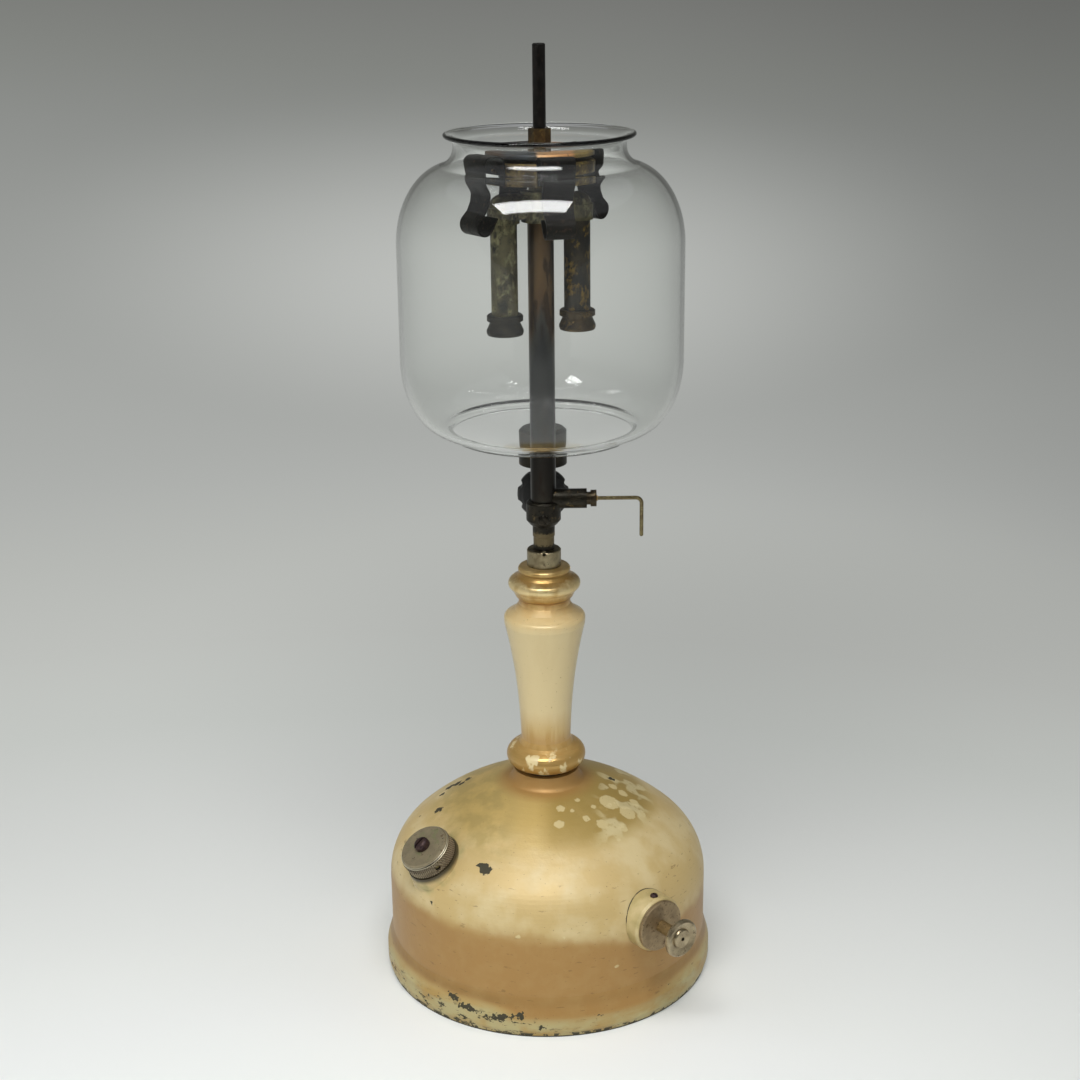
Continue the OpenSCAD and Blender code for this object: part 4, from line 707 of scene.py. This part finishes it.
def makeKnurl(material):
    group = bpy.data.node_groups.new("diamondKnurl", "GeometryNodeTree")
    face = group.interface
    face.new_socket("Geometry", in_out="INPUT", socket_type="NodeSocketGeometry")
    ids = {}
    for label, kind in (("Count", "Int"), ("Rows", "Int"), ("Radius", "Float"), ("Pitch", "Float"),
                        ("Start", "Float"), ("Tooth", "Float"), ("Height", "Float"), ("Vent", "Vector"),
                        ("Vent Gap", "Float"), ("Material", "Material")):
        ids[label] = face.new_socket(label, in_out="INPUT", socket_type="NodeSocket" + kind).identifier
    face.new_socket("Geometry", in_out="OUTPUT", socket_type="NodeSocketGeometry")
    given = group.nodes.new("NodeGroupInput").outputs
    index = addNode(group, "GeometryNodeInputIndex").outputs[0]
    count = given["Count"]
    every = addNode(group, "ShaderNodeMath", {0: count, 1: given["Rows"]}, operation="MULTIPLY").outputs[0]
    # every second row is turned by half a tooth
    rows = addNode(group, "ShaderNodeMath", {0: index, 1: count}, operation="DIVIDE").outputs[0]
    row = addNode(group, "ShaderNodeMath", {0: rows}, operation="FLOOR").outputs[0]
    odd = addNode(group, "ShaderNodeMath", {0: row, 1: 2.0}, operation="MODULO").outputs[0]
    place = addNode(group, "ShaderNodeMath", {0: odd, 1: 0.5, 2: index}, operation="MULTIPLY_ADD").outputs[0]
    step = addNode(group, "ShaderNodeMath", {0: 2 * math.pi, 1: count}, operation="DIVIDE").outputs[0]
    angle = addNode(group, "ShaderNodeMath", {0: place, 1: step}, operation="MULTIPLY").outputs[0]
    level = addNode(group, "ShaderNodeMath", {0: row, 1: given["Pitch"], 2: given["Start"]},
                    operation="MULTIPLY_ADD").outputs[0]
    cosine = addNode(group, "ShaderNodeMath", {0: angle}, operation="COSINE").outputs[0]
    sine = addNode(group, "ShaderNodeMath", {0: angle}, operation="SINE").outputs[0]
    outward = addNode(group, "ShaderNodeCombineXYZ", {0: cosine, 1: sine}).outputs[0]
    ringed = addNode(group, "ShaderNodeVectorMath", {0: outward, "Scale": given["Radius"]},
                     operation="SCALE").outputs[0]
    raised = addNode(group, "ShaderNodeCombineXYZ", {2: level}).outputs[0]
    spot = addNode(group, "ShaderNodeVectorMath", {0: ringed, 1: raised}, operation="ADD").outputs[0]
    cloud = addNode(group, "GeometryNodePoints", {"Count": every, "Position": spot}).outputs[0]
    fromVent = addNode(group, "ShaderNodeVectorMath", {0: spot, 1: given["Vent"]},
                       operation="DISTANCE").outputs[1]
    overVent = addNode(group, "FunctionNodeCompare", {0: fromVent, 1: given["Vent Gap"]},
                       operation="LESS_THAN").outputs[0]
    points = addNode(group, "GeometryNodeDeleteGeometry",
                     {"Geometry": cloud, "Selection": overVent}).outputs[0]
    turn = addNode(group, "ShaderNodeCombineXYZ", {1: math.pi / 2, 2: angle}).outputs[0]
    tooth = addNode(group, "GeometryNodeMeshCone", {"Vertices": 4, "Radius Top": 0.0,
                                                    "Radius Bottom": given["Tooth"],
                                                    "Depth": given["Height"]}).outputs["Mesh"]
    teeth = addNode(group, "GeometryNodeInstanceOnPoints",
                    {"Points": points, "Instance": tooth, "Rotation": turn}).outputs[0]
    real = addNode(group, "GeometryNodeRealizeInstances", {0: teeth}).outputs[0]
    coated = addNode(group, "GeometryNodeSetMaterial", {"Geometry": real,
                                                        "Material": given["Material"]}).outputs[0]
    scaled = addNode(group, "GeometryNodeTransform", {"Geometry": coated, "Scale": (mm, mm, mm)}).outputs[0]
    addNode(group, "NodeGroupOutput", {"Geometry": scaled})
    holder = bpy.data.objects.new("knurlSource", bpy.data.meshes.new("knurlSource"))
    bpy.context.collection.objects.link(holder)
    modifier = holder.modifiers.new("knurl", "NODES")
    modifier.node_group = group
    for label, size in knurl.items():
        modifier[ids[label]] = size
    modifier[ids["Material"]] = material
    holder.update_tag()
    bpy.context.view_layer.update()
    mesh = bpy.data.meshes.new_from_object(holder.evaluated_get(bpy.context.evaluated_depsgraph_get()))
    bpy.data.objects.remove(holder)
    # from the cap's own frame to its place on the lamp
    mesh.transform(Matrix.Translation(Vector(filler["at"]) * mm)
                   @ Matrix.Rotation(math.radians(filler["turn"]), 4, "Z")
                   @ Matrix.Rotation(math.radians(filler["tilt"]), 4, "Y"))
    return mesh


keepPiece("capKnurl", makeKnurl(capNickel), capNickel, "cap")
print("pieces fitted")


# studio

# one round sweep of paper that rises into a wall, with painted light on it: pale at the front and grey behind;
# in metres
studio = {"flat": 1.0, "reach": 2.7, "rise": 0.9, "sides": 96, "rings": 24,
          "paleAt": (-0.1, -0.45, 0.0), "toneSpan": 2.5, "shadeAt": (0.10, 0.40, 0.0), "shadeReach": 0.45,
          "glowAt": (-0.025, 1.37, 0.123), "glowReach": 0.33, "black": (0, 0, 0, 1)}

# painted light on the paper: its tone by distance from the palest point, as a share of toneSpan
paperLightStops = [(0.12, "#edf0ed"), (0.156, "#e8eae8"), (0.18, "#e5e7e4"), (0.216, "#dee0dd"),
              (0.26, "#d4d6d3"), (0.312, "#c7cac6"), (0.376, "#bec0bc"), (0.456, "#b7b9b5"),
              (0.556, "#aeb0ad"), (0.66, "#a5a7a4"), (0.708, "#9fa19e"), (0.76, "#969895"),
              (0.80, "#8d8f8c"), (0.84, "#828480"), (0.88, "#777875"), (1.0, "#666763")]


def makeSweep():
    mesh = bpy.data.meshes.new("paperSweep")
    work = bmesh.new()
    wallDepth = studio["reach"] - studio["flat"]
    radii = [0.0, 0.25, 0.5, 0.75]
    radii += [studio["flat"] + wallDepth * k / studio["rings"] for k in range(studio["rings"] + 1)]
    sides = studio["sides"]
    rings = []
    for radius in radii:
        height = studio["rise"] * max(0.0, radius - studio["flat"]) ** 2
        if radius == 0:
            rings.append([work.verts.new((0, 0, 0))])
        else:
            rings.append([work.verts.new((radius * math.cos(2 * math.pi * k / sides),
                                          radius * math.sin(2 * math.pi * k / sides), height))
                          for k in range(sides)])
    for low, high in zip(rings, rings[1:]):
        for k in range(sides):
            n = (k + 1) % sides
            corners = [low[k % len(low)], high[k], high[n], low[n % len(low)]]
            work.faces.new(list(dict.fromkeys(corners)))
    bmesh.ops.recalc_face_normals(work, faces=work.faces)
    if work.faces[:][0].normal.z < 0:
        bmesh.ops.reverse_faces(work, faces=work.faces)
    work.to_mesh(mesh)
    work.free()
    mesh.polygons.foreach_set("use_smooth", [True] * len(mesh.polygons))
    sweep = bpy.data.objects.new("paperSweep", mesh)
    bpy.context.collection.objects.link(sweep)
    made = bpy.data.materials.new("greyPaper")
    made.use_nodes = True
    tree = made.node_tree
    tree.nodes.clear()
    place = addNode(tree, "ShaderNodeTexCoord").outputs["Object"]
    far = addNode(tree, "ShaderNodeVectorMath", {0: place, 1: studio["paleAt"]},
                  operation="DISTANCE").outputs[1]
    share = addNode(tree, "ShaderNodeMath", {0: far, 1: studio["toneSpan"]}, operation="DIVIDE").outputs[0]
    paperToneAndLight = addNode(tree, "ShaderNodeValToRGB", {0: share}, stops=paperLightStops).outputs[0]
    side, ahead = addNode(tree, "ShaderNodeSeparateXYZ", {0: place}).outputs[:2]
    # the lamp's own soft shade on the paper behind it
    fromShade = addNode(tree, "ShaderNodeVectorMath", {0: place, 1: studio["shadeAt"]},
                        operation="DISTANCE").outputs[1]
    shade = both(tree, band(tree, fromShade, studio["shadeReach"], 0.0), 0.2)
    # painted shade: the paper is darker towards the right
    right = both(tree, band(tree, side, 0.0, 0.8), band(tree, far, 0.5, 1.1), 0.24)
    # and a painted pool of light low down behind the globe, twice as wide as it is high
    squeezed = addNode(tree, "ShaderNodeVectorMath", {0: place, 1: (0.5, 1.0, 1.0)},
                       operation="MULTIPLY").outputs[0]
    fromGlow = addNode(tree, "ShaderNodeVectorMath", {0: squeezed, 1: studio["glowAt"]},
                       operation="DISTANCE").outputs[1]
    pale = both(tree, band(tree, fromGlow, studio["glowReach"], 0.0), 0.42)
    # what shines reflects the dark room behind the camera
    path = addNode(tree, "ShaderNodeLightPath")
    mirrored = addNode(tree, "ShaderNodeMath", {0: path.outputs["Is Glossy Ray"],
                                                1: path.outputs["Is Transmission Ray"]},
                       operation="SUBTRACT", use_clamp=True).outputs[0]
    room = both(tree, mirrored, band(tree, ahead, -1.26, -1.30))
    paperToneAndLight = coats(tree, paperToneAndLight, (shade, studio["black"]), (right, studio["black"]), (pale, "#e2e4e0"),
                      (room, "#2e2e2c"))
    matt = addNode(tree, "ShaderNodeBsdfDiffuse", {"Color": paperToneAndLight}).outputs[0]
    # painted light: far off, the paper glows with this tone for camera, glossy and transmission rays, though it
    # is no lamp
    glow = addNode(tree, "ShaderNodeEmission", {"Color": paperToneAndLight, "Strength": 1.0}).outputs[0]
    seen = either(tree, path.outputs["Is Camera Ray"], path.outputs["Is Glossy Ray"],
                  path.outputs["Is Transmission Ray"])
    distant = band(tree, far, 0.32, 0.95)
    mixed = addNode(tree, "ShaderNodeMixShader", {0: both(tree, seen, distant), 1: matt, 2: glow}).outputs[0]
    addNode(tree, "ShaderNodeOutputMaterial", {"Surface": mixed})
    mesh.materials.append(made)


makeSweep()

# the softbox hangs in front of and above the lamp; the rest only fill, and show in no reflection
lamps = {
    "softbox": {"place": (-0.13, -0.71, 1.6), "aim": (-0.13, -0.70, 0.0), "size": (1.2, 0.50), "watts": 22.5,
                "seen": True},
    "frontFill": {"place": (-0.4, -1.9, 0.9), "aim": (0, 0, 0.2), "size": (1.6, 1.2), "watts": 16.5,
                  "seen": False},
    "leftFill": {"place": (-1.7, -0.2, 1.0), "aim": (0, 0, 0.25), "size": (0.9, 1.2), "watts": 6.0,
                 "seen": False},
    "rightFill": {"place": (1.7, -0.4, 1.0), "aim": (0, 0, 0.25), "size": (0.9, 1.2), "watts": 4.0,
                  "seen": False},
}
for lampName, settings in lamps.items():
    lampData = bpy.data.lights.new(lampName, "AREA")
    lampData.shape = "RECTANGLE"
    lampData.size, lampData.size_y = settings["size"]
    lampData.energy = settings["watts"]
    lamp = bpy.data.objects.new(lampName, lampData)
    bpy.context.collection.objects.link(lamp)
    lamp.visible_glossy = lamp.visible_transmission = settings["seen"]
    lamp.location = settings["place"]
    aimed = Vector(settings["aim"]) - Vector(settings["place"])
    lamp.rotation_euler = aimed.to_track_quat("-Z", "Y").to_euler()
room = bpy.data.worlds.new("studioRoom")
bpy.context.scene.world = room
room.use_nodes = True
room.node_tree.nodes["Background"].inputs[0].default_value = toLinear("#c9cbcc")
room.node_tree.nodes["Background"].inputs[1].default_value = 0.5
bpy.context.scene.view_settings.view_transform = "Standard"
print("studio lit")
